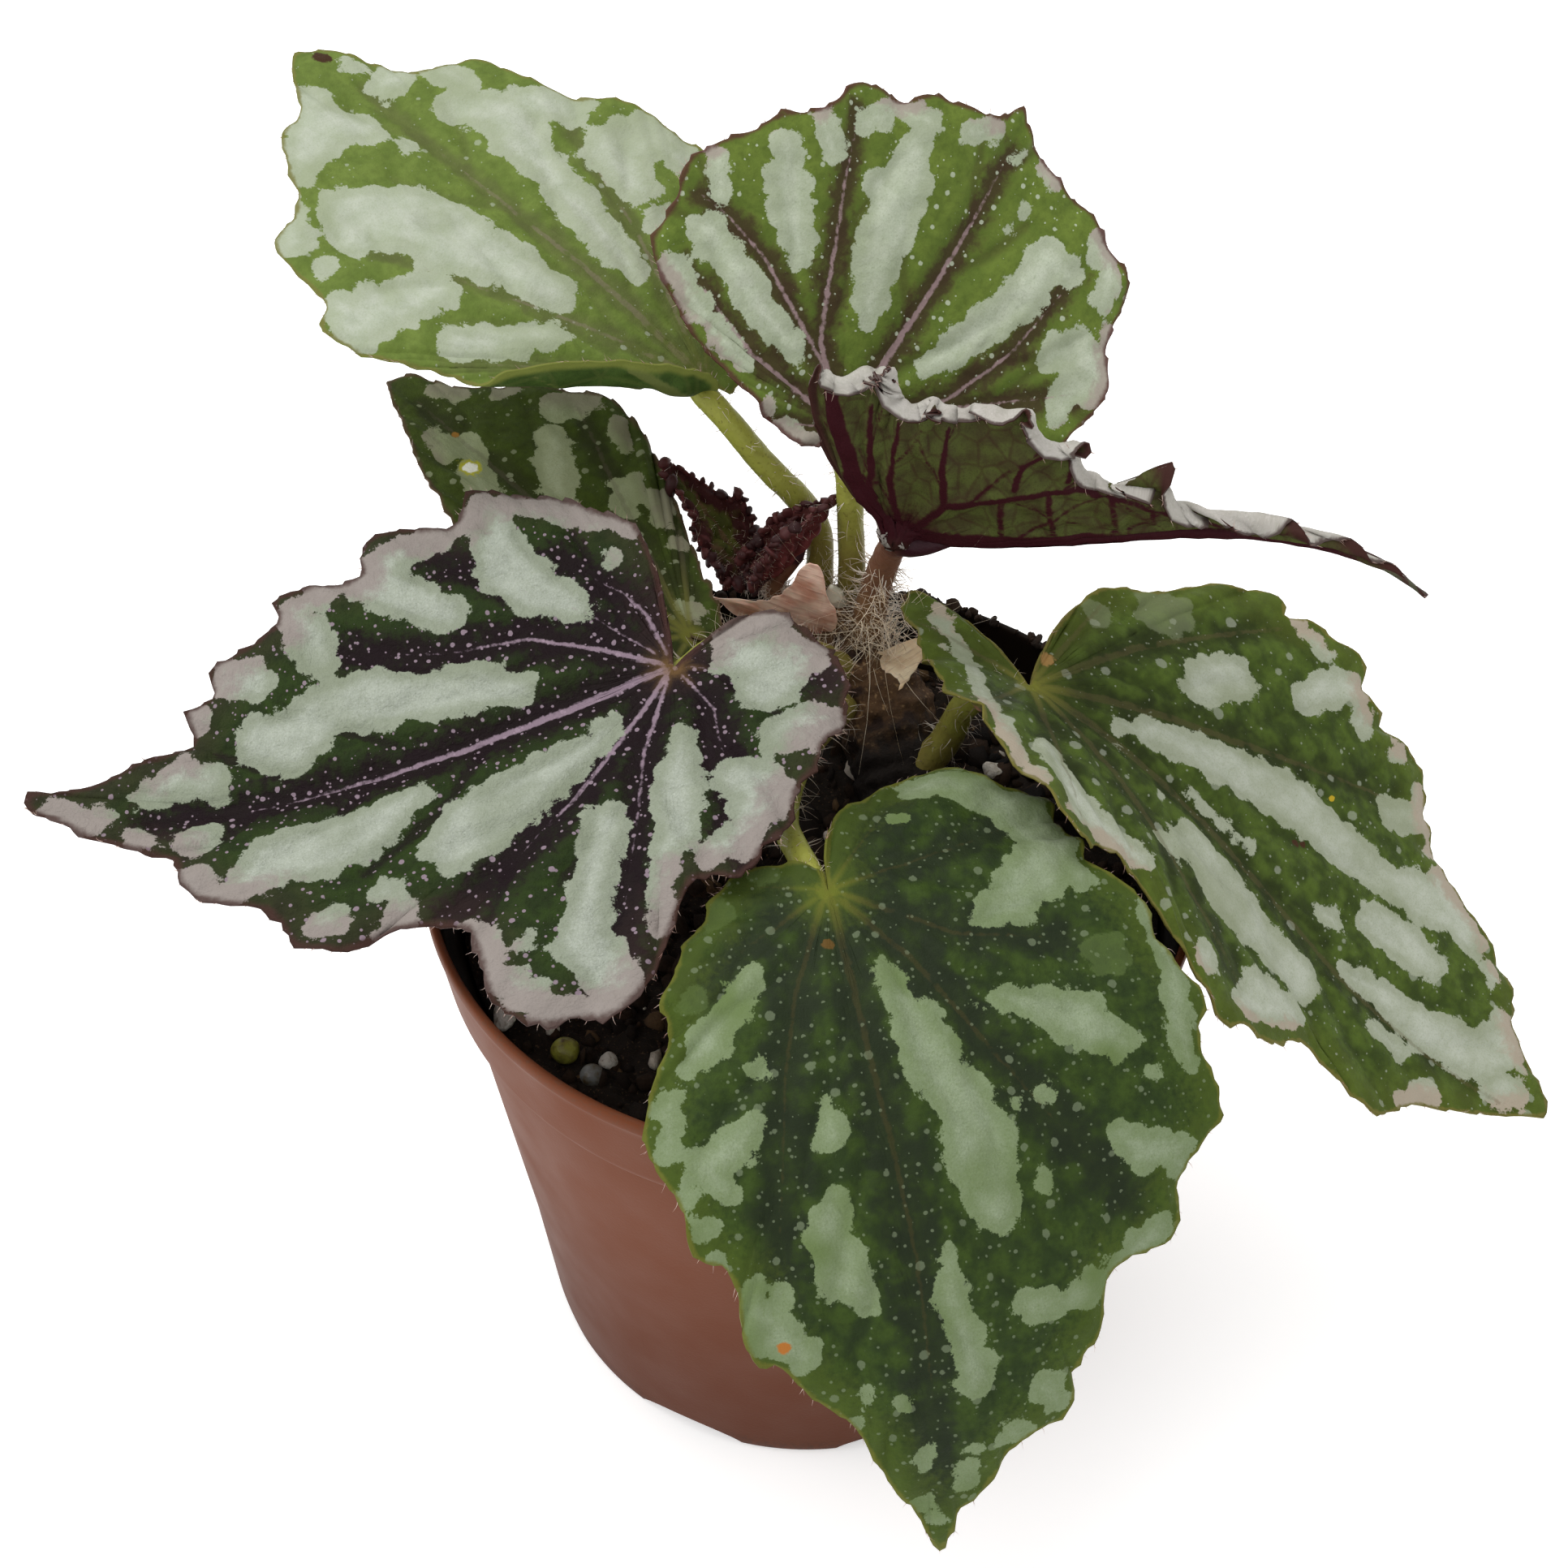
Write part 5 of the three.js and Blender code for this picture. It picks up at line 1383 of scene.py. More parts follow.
# %% Left leaf
LEFT = dict(
    at=(-18.3, 6.9, 117), heading=(203, 194, 172), pitch=(-9, -10, 6), roll=(-8, -6), fold=((5, 14), (5, 14)),
    curl=(-0.35, -0.3), length=86.3, wave=(0.7, 10),
    stalk=[(4, 29, 96.5), (-5, 24, 106), (-12.6, 14.4, 113.8), (-18.3, 6.9, 117)], stalk_radius=(2.4, 1.9),
    quilt=0.95, teeth=(3.6, 0.8), ruffle=0.6,
    outline=[
        (-106, 4), (-102, 16), (-95, 23), (-89, 26), (-83, 29.6), (-77, 32.9), (-72, 36.2), (-65.5, 38.5),
        (-59.5, 37.9), (-52, 44.1), (-44, 49.3), (-40.5, 47.7), (-35.5, 52), (-30.5, 58.5), (-28, 57.1),
        (-25, 59.5), (-18.5, 65.3), (-15.5, 63.7), (-12.5, 68.1), (-9, 67.6), (-6.5, 74.4), (-2.5, 80),
        (-1, 86.2), (2, 79), (5, 71.9), (6.5, 68.2), (10, 67.6), (14.5, 61.4), (17.5, 57.3), (22.5, 58.5),
        (25.5, 56.6), (27.5, 54), (28.5, 50.5), (30, 47.7), (35, 44), (40, 46), (50, 51), (59, 51), (65, 46),
        (70, 37), (75, 33), (84, 33), (97, 29), (113, 25), (134, 24), (158, 21), (178, 17), (194, 13),
        (204, 4)],
    veins=[
        [(0, 0, 0.9), (0, 25, 0.75), (0, 48, 0.45), (1, 70, 0.1)],
        [(-39, 2, 0.7), (-39, 10, 0.6), (-36, 20, 0.55), (-28, 29, 0.4), (-24, 50, 0.1)],
        [(-87, 2, 0.5), (-87, 9, 0.5), (-81, 13, 0.4), (-69, 22, 0.1)],
        [(40, 2, 0.7), (37, 22, 0.55), (34, 42, 0.1)],
        [(48, 2, 0.6), (53, 14, 0.5), (58, 23, 0.4), (61, 46, 0.1)],
        [(104, 2, 0.5), (104, 9, 0.45), (89, 19, 0.3), (86, 30, 0.1)], [(150, 2, 0.4), (148, 20, 0.1)],
        [(-62, 3, 0.4), (-58, 14, 0.3), (-50, 40, 0.1)]],
    silver=[
        [(27, 11.5, 1.2), (25.5, 18, 2.8), (23, 26, 4), (22.5, 33, 5), (23.5, 37, 3.6)],
        [(8, 37, 1.8), (11, 43, 3.4), (11, 49.5, 4.6), (10.5, 55, 4.2), (12, 58, 3)], [(23, 46, 1.8)],
        [(22.5, 53.5, 2.4)], [(28, 46.5, 2), (28, 49, 1.6)], [(10.5, 65, 2.5), (14, 62, 1.5)], [(4, 64, 2.8)],
        [(1, 77.5, 2.6), (0, 83, 1.8)], [(3.5, 71, 2)],
        [(-14.5, 20, 2.2), (-17, 26, 3.6), (-15.5, 35, 3.6), (-16, 40, 4.4), (-15, 46, 3.6), (-9, 52, 4.8),
         (-9.5, 56, 3.8)], [(-4, 63, 3), (-5, 67, 2.6), (-2.5, 71, 2)], [(-12, 66, 2)],
        [(-18, 62, 3.6), (-18, 58, 3)], [(-23, 49, 3), (-26, 51, 3.8), (-29, 56, 2.2)],
        [(-38, 32, 3), (-39, 40, 3.8), (-39.5, 45, 4), (-46, 43, 2.2)],
        [(-58, 16, 2.6), (-54.5, 21.5, 4), (-56, 27, 4.4), (-61, 31, 3.4), (-70, 34, 1.8)],
        [(-87, 24, 1.8), (-80, 28, 2), (-74, 32, 1.8)],
        [(-96, 21, 1.8), (-86, 26.5, 2), (-76, 31, 2), (-66, 35.5, 2.1), (-54, 39, 2.1), (-46, 43.5, 2.2),
         (-38, 49.5, 2.2), (-30, 54.5, 2.2)], [(-86, 17.5, 1.1)],
        [(50, 25, 2.8), (52, 31.5, 2.6), (53.5, 36, 2.4), (55, 41, 3.4), (61, 45, 3.2), (60, 49, 1.8)],
        [(39, 44.5, 2.2), (46, 48, 2), (55, 50.5, 2.2), (62, 49, 2)], [(47, 43, 1)],
        [(75, 12, 1.5), (70, 20, 3.3), (71, 25, 3), (67, 28.5, 1.8), (67, 38, 1.4)],
        [(93, 20, 3.2), (99, 23, 3.6), (85, 28.8, 2.5), (77, 29.5, 2)], [(126, 21.5, 3.8), (116, 18.5, 3)],
        [(139, 13, 4.2), (160, 15.8, 4.2), (162, 8, 3), (184, 10, 3), (184, 14.5, 2.6)]])
LEFT_LOOK = dict(
    green=(44, 60, 24), green_two=(36, 48, 22), green_dark=(24, 22, 17), shade_colour=(27, 17, 21),
    shade=0.95, shade_width=4.6, branch=0.75, outer_colour=(52, 38, 36), outer=0.4,
    dot_colour=(146, 128, 140), dot_rate=0.5, dot_rare=0.34, dot_size=0.27, tiny=0.62, silver=(152, 158, 146),
    silver_two=(164, 170, 158), silver_dark=(122, 130, 108), silver_light=(186, 192, 180), halo=0.6,
    mauve=(142, 132, 128), mauve_width=6, line_colour=(150, 130, 144), line=0.75, line_width=-0.18,
    line_broken=0.2, star_colour=(120, 92, 56), star=0.6, star_reach=5, edge=(66, 44, 40), edge_width=1.1,
    back=(96, 52, 48), back_two=(84, 56, 44), back_dark=(70, 38, 36), back_vein=(110, 54, 52), bump=0.42)
grow_leaf("leaf_left", LEFT, LEFT_LOOK, 2, stalk_hairs=200, bristles=200)

# %% [markdown]
# ## The right leaf
# A long green leaf with broad silver stripes along its veins. Its near half is folded up and seen edge on.

# %% Right leaf
RIGHT = dict(
    at=(29, 15.4, 106.5), heading=(-21, -28, -19), pitch=(-15, -39, -19), roll=(0, -4),
    fold=((2, 24), (4, -6)), curl=(0.1, 0), length=95, wave=(0.8, 9),
    stalk=[(14, 19, 85), (18.5, 19.5, 92), (21, 19, 99.5), (25, 17.2, 104.4), (29, 15.4, 106.5)],
    stalk_radius=(2.6, 1.9), quilt=0.8, teeth=(4.0, 0.6),
    outline=[
        (-218, 4), (-213, 18), (-204, 22), (-188, 17), (-161, 15), (-124, 15), (-103, 17), (-88, 22),
        (-74, 28), (-62, 32), (-50, 31), (-42, 38.5), (-37.5, 47.5), (-35, 51.8), (-30.5, 53.4), (-27, 56.7),
        (-24, 59), (-19, 58.8), (-16.5, 60.5), (-15, 64.5), (-13.8, 70), (-12.6, 74), (-10.5, 76.6),
        (-6.5, 80), (-4, 83.9), (-1.5, 87.4), (0, 91.6), (1, 94.5), (5.5, 92.5), (8, 90), (10.5, 88.8),
        (12.5, 86.4), (14.5, 83.2), (17, 79.8), (20, 75.3), (23, 71.5), (26, 70.4), (28.5, 67.3), (33, 66),
        (37, 63.4), (39, 59.6), (41.5, 58.3), (43.5, 55.4), (46, 55.5), (50, 53.6), (52.5, 50.9), (55, 50.2),
        (57, 46.2), (59.5, 46.4), (63, 43.9), (65, 39.7), (67.5, 37.2), (70.5, 31.7), (76, 27.2),
        (80.5, 23.4), (87, 18), (96, 4)],
    veins=[
        [(-2, 0, 0.8), (-2, 30, 0.55), (-2, 60, 0.35), (0, 90, 0.1)],
        [(27, 2, 0.6), (27, 16, 0.5), (27, 31, 0.4), (29, 60, 0.1)],
        [(58, 2, 0.5), (58, 20, 0.4), (55, 44, 0.1)], [(-30, 2, 0.6), (-27, 25, 0.4), (-26, 50, 0.1)],
        [(-62, 2, 0.5), (-62, 28, 0.1)], [(-110, 2, 0.3), (-110, 14, 0.1)], [(-190, 2, 0.4), (-195, 18, 0.1)],
        [(82, 2, 0.4), (80, 20, 0.1)]],
    silver=[
        [(11, 13.5, 1.3), (17.4, 19, 2.6), (17.7, 27, 3.4), (19, 35, 3.9), (19, 44.4, 4.4), (16.6, 53, 3.9),
         (15.7, 60.5, 2.9), (16.8, 67.4, 4.5), (17.6, 73, 4.6), (15.3, 78.5, 3)], [(20, 71.3, 3.2)],
        [(8.7, 59, 2.3), (9.6, 64, 3.9), (9.2, 71.6, 3.1)], [(4.3, 52, 1.8), (4.4, 54.7, 1.8)],
        [(-0.5, 59.5, 1.3), (1.2, 65.7, 2.7), (1.5, 74.5, 3.5), (3, 83.3, 4.4), (5.4, 87.4, 4)],
        [(1.3, 89.5, 3.6)], [(8, 86.5, 2.7)], [(-4.2, 67, 1.5), (-3.2, 72, 2.1)],
        [(-4.9, 78.5, 2.3), (-7.9, 76.4, 1.9)],
        [(-24, 29, 2.3), (-12.8, 30.3, 3), (-14.4, 37, 4.8), (-12.4, 43, 4.8), (-11.9, 48, 3.9),
         (-9.8, 54, 4.1)], [(-28, 51.7, 2.3), (-21.7, 52, 4), (-16.8, 55.6, 2.9)], [(-34, 44.6, 2.5)],
        [(42, 27, 3.8), (44.3, 32.4, 3.9)], [(41.6, 43.6, 2.3), (44, 48.8, 3.3), (44, 53.2, 2.5)],
        [(39, 54, 2.5)], [(49, 49, 1.5), (55, 46.8, 1.5)],
        [(26.4, 59.4, 2.5), (27.8, 65.8, 2.7), (31, 65.8, 2.1)], [(24, 69, 1.6)], [(35.8, 61, 1.9)],
        [(12.3, 82.6, 2.3)], [(3, 25.8, 0.7), (3, 32, 1), (3, 37.7, 0.8)], [(-10, 23, 0.9)], [(-2, 15, 0.8)],
        [(-70, 16.5, 2.5), (-62.4, 23, 3.3), (-52, 27.6, 3.3), (-40.6, 30.6, 1.9)], [(-64, 27.6, 1.9)],
        [(-204, 17, 0.9)], [(-186, 13, 1)],
        [(-208, 17.5, 1), (-196, 12.5, 1.3), (-172, 8.8, 1.3), (-125, 9.8, 1.5), (-99, 15, 1.6),
         (-85, 20.5, 1.5), (-77, 25.5, 1.3)]],
    dull=[
        [(66, 27, 4)], [(78, 18, 2)]])
RIGHT_LOOK = dict(
    green=(54, 68, 28), green_two=(76, 94, 37), green_dark=(42, 48, 22), shade_colour=(34, 38, 20), shade=0.6,
    shade_width=3.4, branch=0.15, outer_colour=(86, 98, 35), outer=0.45, dots=0.42, dot_rate=0.2, tiny=0.66,
    silver=(164, 170, 153), silver_two=(174, 179, 165), silver_dark=(124, 132, 102), grow=-0.1,
    mauve=(160, 148, 132), mauve_width=4.0, line_colour=(88, 78, 52), line=0.35, star_colour=(128, 128, 52),
    star=0.7, star_reach=7, edge=(108, 102, 50), edge_width=0.5,
    spots=[(11.7, 44.2, 0.75, (66, 44, 30)), (12.6, 45.4, 0.6, (66, 44, 30)),
           (24.3, 48.8, 0.5, (176, 150, 40)), (86, 6, 1.3, (150, 118, 70))],
    back=(120, 122, 92), back_two=(112, 104, 80), back_dark=(96, 92, 66), back_vein=(136, 100, 80), web=0.3)
grow_leaf("leaf_right", RIGHT, RIGHT_LOOK, 3, stalk_hairs=130)

# %% [markdown]
# ## The leaf at the back left
# Pale and flat, mostly mint silver on fresh green, with a purple-grey midrib. One lobe at its base is turned up,
# so a strip of its dark green back shows.

# %% Back left leaf
BACK_LEFT = dict(
    at=(-15.8, 46, 133.6), heading=(142, 143, 134), pitch=(30, 16, 13), roll=(-4, -4), fold=((6, 6), (6, 6)),
    curl=(-0.2, -0.2), length=72.5, wave=(0.5, 8), lobe_lift={'from': 54, 'angle': 105, 'radius': 2},
    stalk_radius=(2.0, 1.8), teeth=(7.0, 0.42), ruffle=0.35,
    stalk=[(0.5, 40.4, 101), (-0.2, 43, 111.4), (-8, 43.4, 122.4), (-13.2, 44.4, 129.4), (-15.8, 46, 133.6)],
    outline=[
        (-150, 4), (-120, 6), (-95, 10), (-75, 18), (-60, 28), (-49, 36), (-41, 41.5), (-37, 44.2),
        (-32, 46.4), (-27, 48.7), (-23.5, 52), (-19, 55.8), (-16, 60), (-12, 63.3), (-9.5, 64.7),
        (-6.5, 65.6), (-3, 70), (-1.5, 72.9), (1.5, 75), (4, 75.6), (8.5, 69.6), (13, 66.4), (18.5, 61.1),
        (23, 59.5), (28, 59.3), (31.5, 57.2), (36.5, 52.4), (42.5, 52.3), (45.5, 49.7), (50, 42), (54, 35),
        (60, 32), (68, 25), (80, 16), (95, 10), (116, 7), (140, 5), (165, 3)],
    veins=[
        [(0, 0, 0.8), (0, 30, 0.5), (0, 66, 0.1)], [(26, 2, 0.5), (26, 24, 0.4), (26, 52, 0.1)],
        [(-28, 2, 0.5), (-24, 24, 0.4), (-22, 46, 0.1)], [(50, 2, 0.5), (50, 36, 0.1)],
        [(-50, 2, 0.4), (-50, 28, 0.1)], [(80, 2, 0.3), (80, 14, 0.1)]],
    silver=[
        [(17, 23.7, 3), (15.6, 30.6, 3.9), (16.7, 37, 5.2), (15.2, 43.5, 5.8), (20.7, 51.6, 4.4),
         (24.5, 50, 3.2)], [(21.5, 39.7, 2.8)],
        [(31, 38, 3), (37.5, 44, 4), (43, 47.5, 3.4), (38.8, 49, 2.3)],
        [(35.5, 21.7, 2), (42.5, 29, 2.7), (44.3, 34, 2.6)], [(5.5, 60, 3), (9, 64, 4.3), (17.5, 61, 2.2)],
        [(7, 68, 2.8)], [(29, 57, 2.1), (22.5, 60.4, 1.6)], [(32, 52.5, 1.3)], [(3.4, 54, 1.4)],
        [(-15, 19, 1.7), (-13.3, 24, 2.4), (-13, 33, 2.8), (-12.7, 39, 2.5), (-12.5, 45.6, 4.2),
         (-13.7, 49.6, 3.4), (-8.3, 55, 3.3)],
        [(-30, 31, 2.4), (-28, 38.4, 4.3), (-37, 40, 3.8), (-43, 35.5, 2.8)], [(-34.5, 25, 2.4)],
        [(-24, 47.5, 2.8), (-18, 50.5, 3.2)], [(-3.2, 64.6, 3)], [(-9.7, 62, 2.4), (-11.6, 58, 1.4)],
        [(-6, 67, 1.5)], [(-1, 70.5, 1.1)]])
BACK_LEFT_LOOK = dict(
    green=(92, 110, 48), green_two=(104, 122, 56), green_dark=(74, 86, 38), shade_colour=(80, 76, 54),
    shade=0.4, shade_width=2.0, branch=0.2, dots=0.5, dot_rate=0.24, dot_rare=0.5, silver=(164, 172, 153),
    silver_two=(176, 182, 167), silver_dark=(138, 148, 116), grow=0.5, line_colour=(126, 112, 100), line=0.4,
    line_width=0.0, line_broken=0.4, star_colour=(112, 118, 48), star=0.4, edge=(110, 108, 56),
    edge_width=0.6, spots=[(1, 74, 1.6, (62, 42, 26)), (-6, 68.5, 0.8, (150, 112, 70))], back=(50, 68, 28),
    back_two=(64, 84, 36), back_dark=(40, 50, 24), back_vein=(88, 96, 50), back_edge=(112, 120, 56), web=0.25,
    bump=0.16)
grow_leaf("leaf_back_left", BACK_LEFT, BACK_LEFT_LOOK, 4, stalk_hairs=120)

# %% [markdown]
# ## The leaf at the back
# Upright and turned towards us, its silver in long wedges between strong purple-black veins, the main one with a
# pink streak. Its edge is toothed and dotted.

# %% Back leaf
BACK = dict(
    at=(3, 42.3, 129.1), heading=(46, 51, 64), pitch=(39, 36, 35), roll=(48, 48), fold=((5, 5), (5, 5)),
    curl=(-0.1, -0.1), length=49.5, wave=(0.6, 11),
    stalk=[(5.2, 38.4, 100), (4.8, 38.6, 112), (4, 40.4, 123), (3, 42.3, 129.1)], stalk_radius=(2.0, 1.8),
    quilt=0.7, teeth=(3.6, 0.5), ruffle=0.4,
    outline=[
        (-150, 4), (-120, 6), (-98, 9), (-82, 15), (-70, 24), (-60, 32), (-50, 37.5), (-40.5, 40.4),
        (-36.5, 42.8), (-32.5, 44.4), (-28.5, 45.3), (-23, 45.5), (-18.5, 44.9), (-14, 44.5), (-10.5, 46.1),
        (-6, 47), (-1.5, 47.6), (1.5, 49.5), (3.5, 47.7), (8.5, 47.6), (14.5, 45.7), (17, 46), (23, 45.4),
        (27.5, 46), (32.5, 45.4), (36, 43.9), (42, 43.4), (46.5, 42.4), (52.5, 41.5), (57.5, 42.4),
        (61.5, 41.6), (68.5, 40.3), (73, 38.9), (79.5, 36.6), (83.5, 34.4), (86.5, 31.1), (90, 27.6),
        (92.5, 24.9), (95.5, 21.1), (100, 16.5), (110, 12), (138, 7), (164, 4)],
    veins=[
        [(0, 0, 0.7), (0, 20, 0.5), (0, 44, 0.15)],
        [(50, 1, 0.6), (50, 12, 0.45), (41, 20, 0.4), (35, 33, 0.3), (32, 42, 0.1)],
        [(51, 8, 0.4), (61, 25, 0.35), (65, 33, 0.2), (68, 37, 0.1)],
        [(87, 2, 0.5), (86, 16, 0.35), (80, 31, 0.1)],
        [(-42, 2, 0.6), (-42, 15, 0.4), (-34, 25, 0.3), (-26, 38, 0.1)], [(-42, 8, 0.4), (-49, 36, 0.1)],
        [(120, 1, 0.3), (118, 10, 0.1)]],
    silver=[
        [(22.5, 16, 2), (23.5, 22, 3.2), (21.6, 29, 4), (19.7, 35, 3.4), (19.6, 39, 2.4)], [(26, 32.7, 2.4)],
        [(49.5, 24, 1.7), (49.5, 29, 2.8), (48.6, 35, 2.8), (47.6, 39, 1.7)],
        [(66, 12.3, 1.5), (71, 19, 2.3), (70.3, 26, 2.5), (70.8, 32.4, 2.5)],
        [(64, 35.5, 1.5), (61, 40, 1.5)], [(90, 17, 1.3), (88.4, 22, 1.5), (82, 32, 2.1)],
        [(38, 37.4, 1.9), (40, 41.7, 1.3)], [(30, 41, 1.7), (24.7, 43.4, 1.5), (18, 42.7, 1.7)],
        [(9, 43.6, 1.9), (4, 45.7, 1.3)],
        [(-22, 14.8, 1.5), (-22, 18, 2.1), (-21.7, 23.6, 2.7), (-21.8, 30.3, 3.1), (-19, 36.4, 2.8),
         (-24.4, 37.8, 1.9)],
        [(-38.5, 31, 2.3), (-39.3, 35.5, 2.8), (-47, 37.6, 2.8), (-48, 32.8, 2.3), (-53, 31, 1.9)],
        [(-40, 40, 1.9)], [(-24.4, 44, 2.4), (-28.4, 43.3, 2.1), (-32.5, 40.7, 1.5)], [(-8.4, 38.5, 0.9)],
        [(-9, 45, 1.7)], [(-2.5, 43.8, 1.1)], [(-9, 35.4, 0.7)], [(124, 8, 1.5), (-158, 4, 1.5)],
        [(110, 11, 1.3)]])
BACK_LOOK = dict(
    green=(104, 122, 52), green_two=(92, 110, 46), green_dark=(62, 74, 32), shade_colour=(58, 34, 34),
    shade=0.8, shade_width=2.8, dots=0.7, dot_rate=0.42, dot_rare=0.35, silver=(184, 193, 171),
    silver_two=(194, 201, 182), silver_dark=(134, 145, 112), fade=0.3, mauve=(160, 150, 140), mauve_width=2.6,
    line_colour=(160, 136, 138), line=0.75, line_width=0.02, line_broken=0.22, star_colour=(96, 70, 60),
    star=0.0, edge=(84, 48, 46), edge_width=0.8, back=(104, 100, 72), back_two=(112, 84, 66),
    back_dark=(88, 70, 54), back_vein=(120, 66, 58), web=0.4, bump=0.18)
grow_leaf("leaf_back", BACK, BACK_LOOK, 5)

# %% [markdown]
# ## The folded leaf at the back right
# It is folded shut like a taco, so that its back is what shows: dark olive cells between thick maroon veins, with
# pale hairs. Its rim is rolled outwards at the top and shows a thin silver line, and a few tall teeth stand up.

# %% Back right leaf
BACK_RIGHT = dict(
    at=(11.1, 30.7, 121), heading=(-13, -6, -20), pitch=(-4.2, 7.8, -44), roll=(0, 0),
    fold=((60, 70), (72, 76)), curl=(0.7, 0.7), length=76, wave=(0.9, 9),
    stalk=[(7, 33.4, 99), (8.8, 33.6, 110), (10.4, 31.8, 117), (11.1, 30.7, 121)], stalk_radius=(2.5, 2),
    quilt=0.8, teeth=(4.5, 0.4), ruffle=0.8, rib=0.5, cuff=(3, 125, 2),
    peaks=[(-103, 3, -1.8), (-54, 4, -1.8), (-38, 2, -1.6), (-18.6, 1.1, 2.4), (-5.5, 0.8, 0.4)],
    outline=[
        (-154, 4), (-146, 6.5), (-140, 10.5), (-137, 18), (-135.5, 27), (-134.5, 33.5), (-131.5, 35.8),
        (-124, 35.6), (-116, 34.1), (-111, 33.2), (-101, 33.7), (-95, 29.6), (-92, 29.1), (-84, 29),
        (-74, 29.7), (-68, 29.4), (-65, 30.5), (-58, 33.8), (-50, 34.7), (-43, 33), (-38, 35), (-31, 32.8),
        (-25, 33.6), (-22, 35), (-18.2, 39.1), (-14.4, 40), (-12.6, 41.1), (-10.6, 44.8), (-8.1, 48.9),
        (-4.9, 53.6), (-2.2, 60), (-0.8, 66), (0, 71), (1, 60), (2.5, 46), (5, 36), (9, 28), (17, 21),
        (32, 16), (51, 12), (70, 9), (88, 7.5), (105, 7), (122, 6.5), (137, 6), (148, 5), (155, 4)],
    veins=[
        [(0, 0, 2.8), (0, 20, 2.3), (0, 40, 1.5), (0, 62, 0.5)],
        [(-45, 1.4, 0.6), (-53, 11.2, 0.5), (-38, 16.2, 0.4), (-32, 19.8, 0.35), (-24, 27.5, 0.3),
         (-17, 32.1, 0.25), (-8, 37.8, 0.15), (-3, 45, 0.05)],
        [(-54, 11.5, 0.4), (-69, 18.5, 0.35), (-72, 24, 0.15)],
        [(-36, 21, 0.3), (-42, 25.1, 0.25), (-39, 29.7, 0.1)],
        [(-90, 4.2, 0.4), (-99, 13.2, 0.35), (-94, 23.8, 0.15)],
        [(-125, 7.4, 0.6), (-111, 17.2, 0.4), (-111, 26, 0.15)],
        [(-112, 1.3, 0.9), (-130, 5.9, 1.4), (-124, 18.7, 1.2), (-127, 31, 1)],
        [(-33, 17.7, 0.2), (-6, 14.3, 0.2)], [(-25, 23.7, 0.2), (-5, 21.3, 0.2)],
        [(-18, 31.3, 0.2), (-4, 29.6, 0.15)], [(-13, 35.5, 0.15), (-6, 34.7, 0.15)],
        [(-28, 27.5, 0.2), (-31, 30, 0.1)], [(40, 2, 0.5), (30, 22, 0.1)], [(90, 2, 0.4), (88, 14, 0.1)],
        [(135, 2, 0.5), (136, 22, 0.1)]],
    silver=[
        [(-90, 14, 3), (-70, 18, 2)], [(-40, 14, 3), (-25, 22, 3)], [(20, 22, 2), (60, 13, 1.5)]])
BACK_RIGHT_LOOK = dict(
    green=(58, 68, 34), green_two=(50, 58, 32), green_dark=(40, 36, 26), shade_colour=(46, 30, 30), shade=0.9,
    branch=0.5, outer_colour=(130, 122, 112), outer=0.2, dots=0.6, dot_rate=0.4, silver=(168, 163, 156),
    silver_two=(180, 176, 170), silver_dark=(146, 148, 132), silver_light=(196, 192, 186), fade=0.2, halo=0.2,
    line_colour=(160, 120, 126), line=0.2, star_colour=(96, 60, 60), star=0.0, edge=(58, 34, 32),
    edge_width=0.45, back=(78, 84, 42), back_two=(66, 62, 36), back_dark=(48, 34, 27), back_vein=(52, 18, 24),
    back_edge=(60, 36, 32), web=0.35, web_rate=0.26, back_width=0.0, back_star=9)
grow_leaf("leaf_back_right", BACK_RIGHT, BACK_RIGHT_LOOK, 6, BROWN_STALK, stalk_hairs=230,
          hair_high=0.72, hair_size=1.35, bristles=200, spokes=440)

# %% [markdown]
# ## The dark leaf behind the left one
# Dark green, half hidden, with a small hole that has a yellow ring, where something has fed on it.

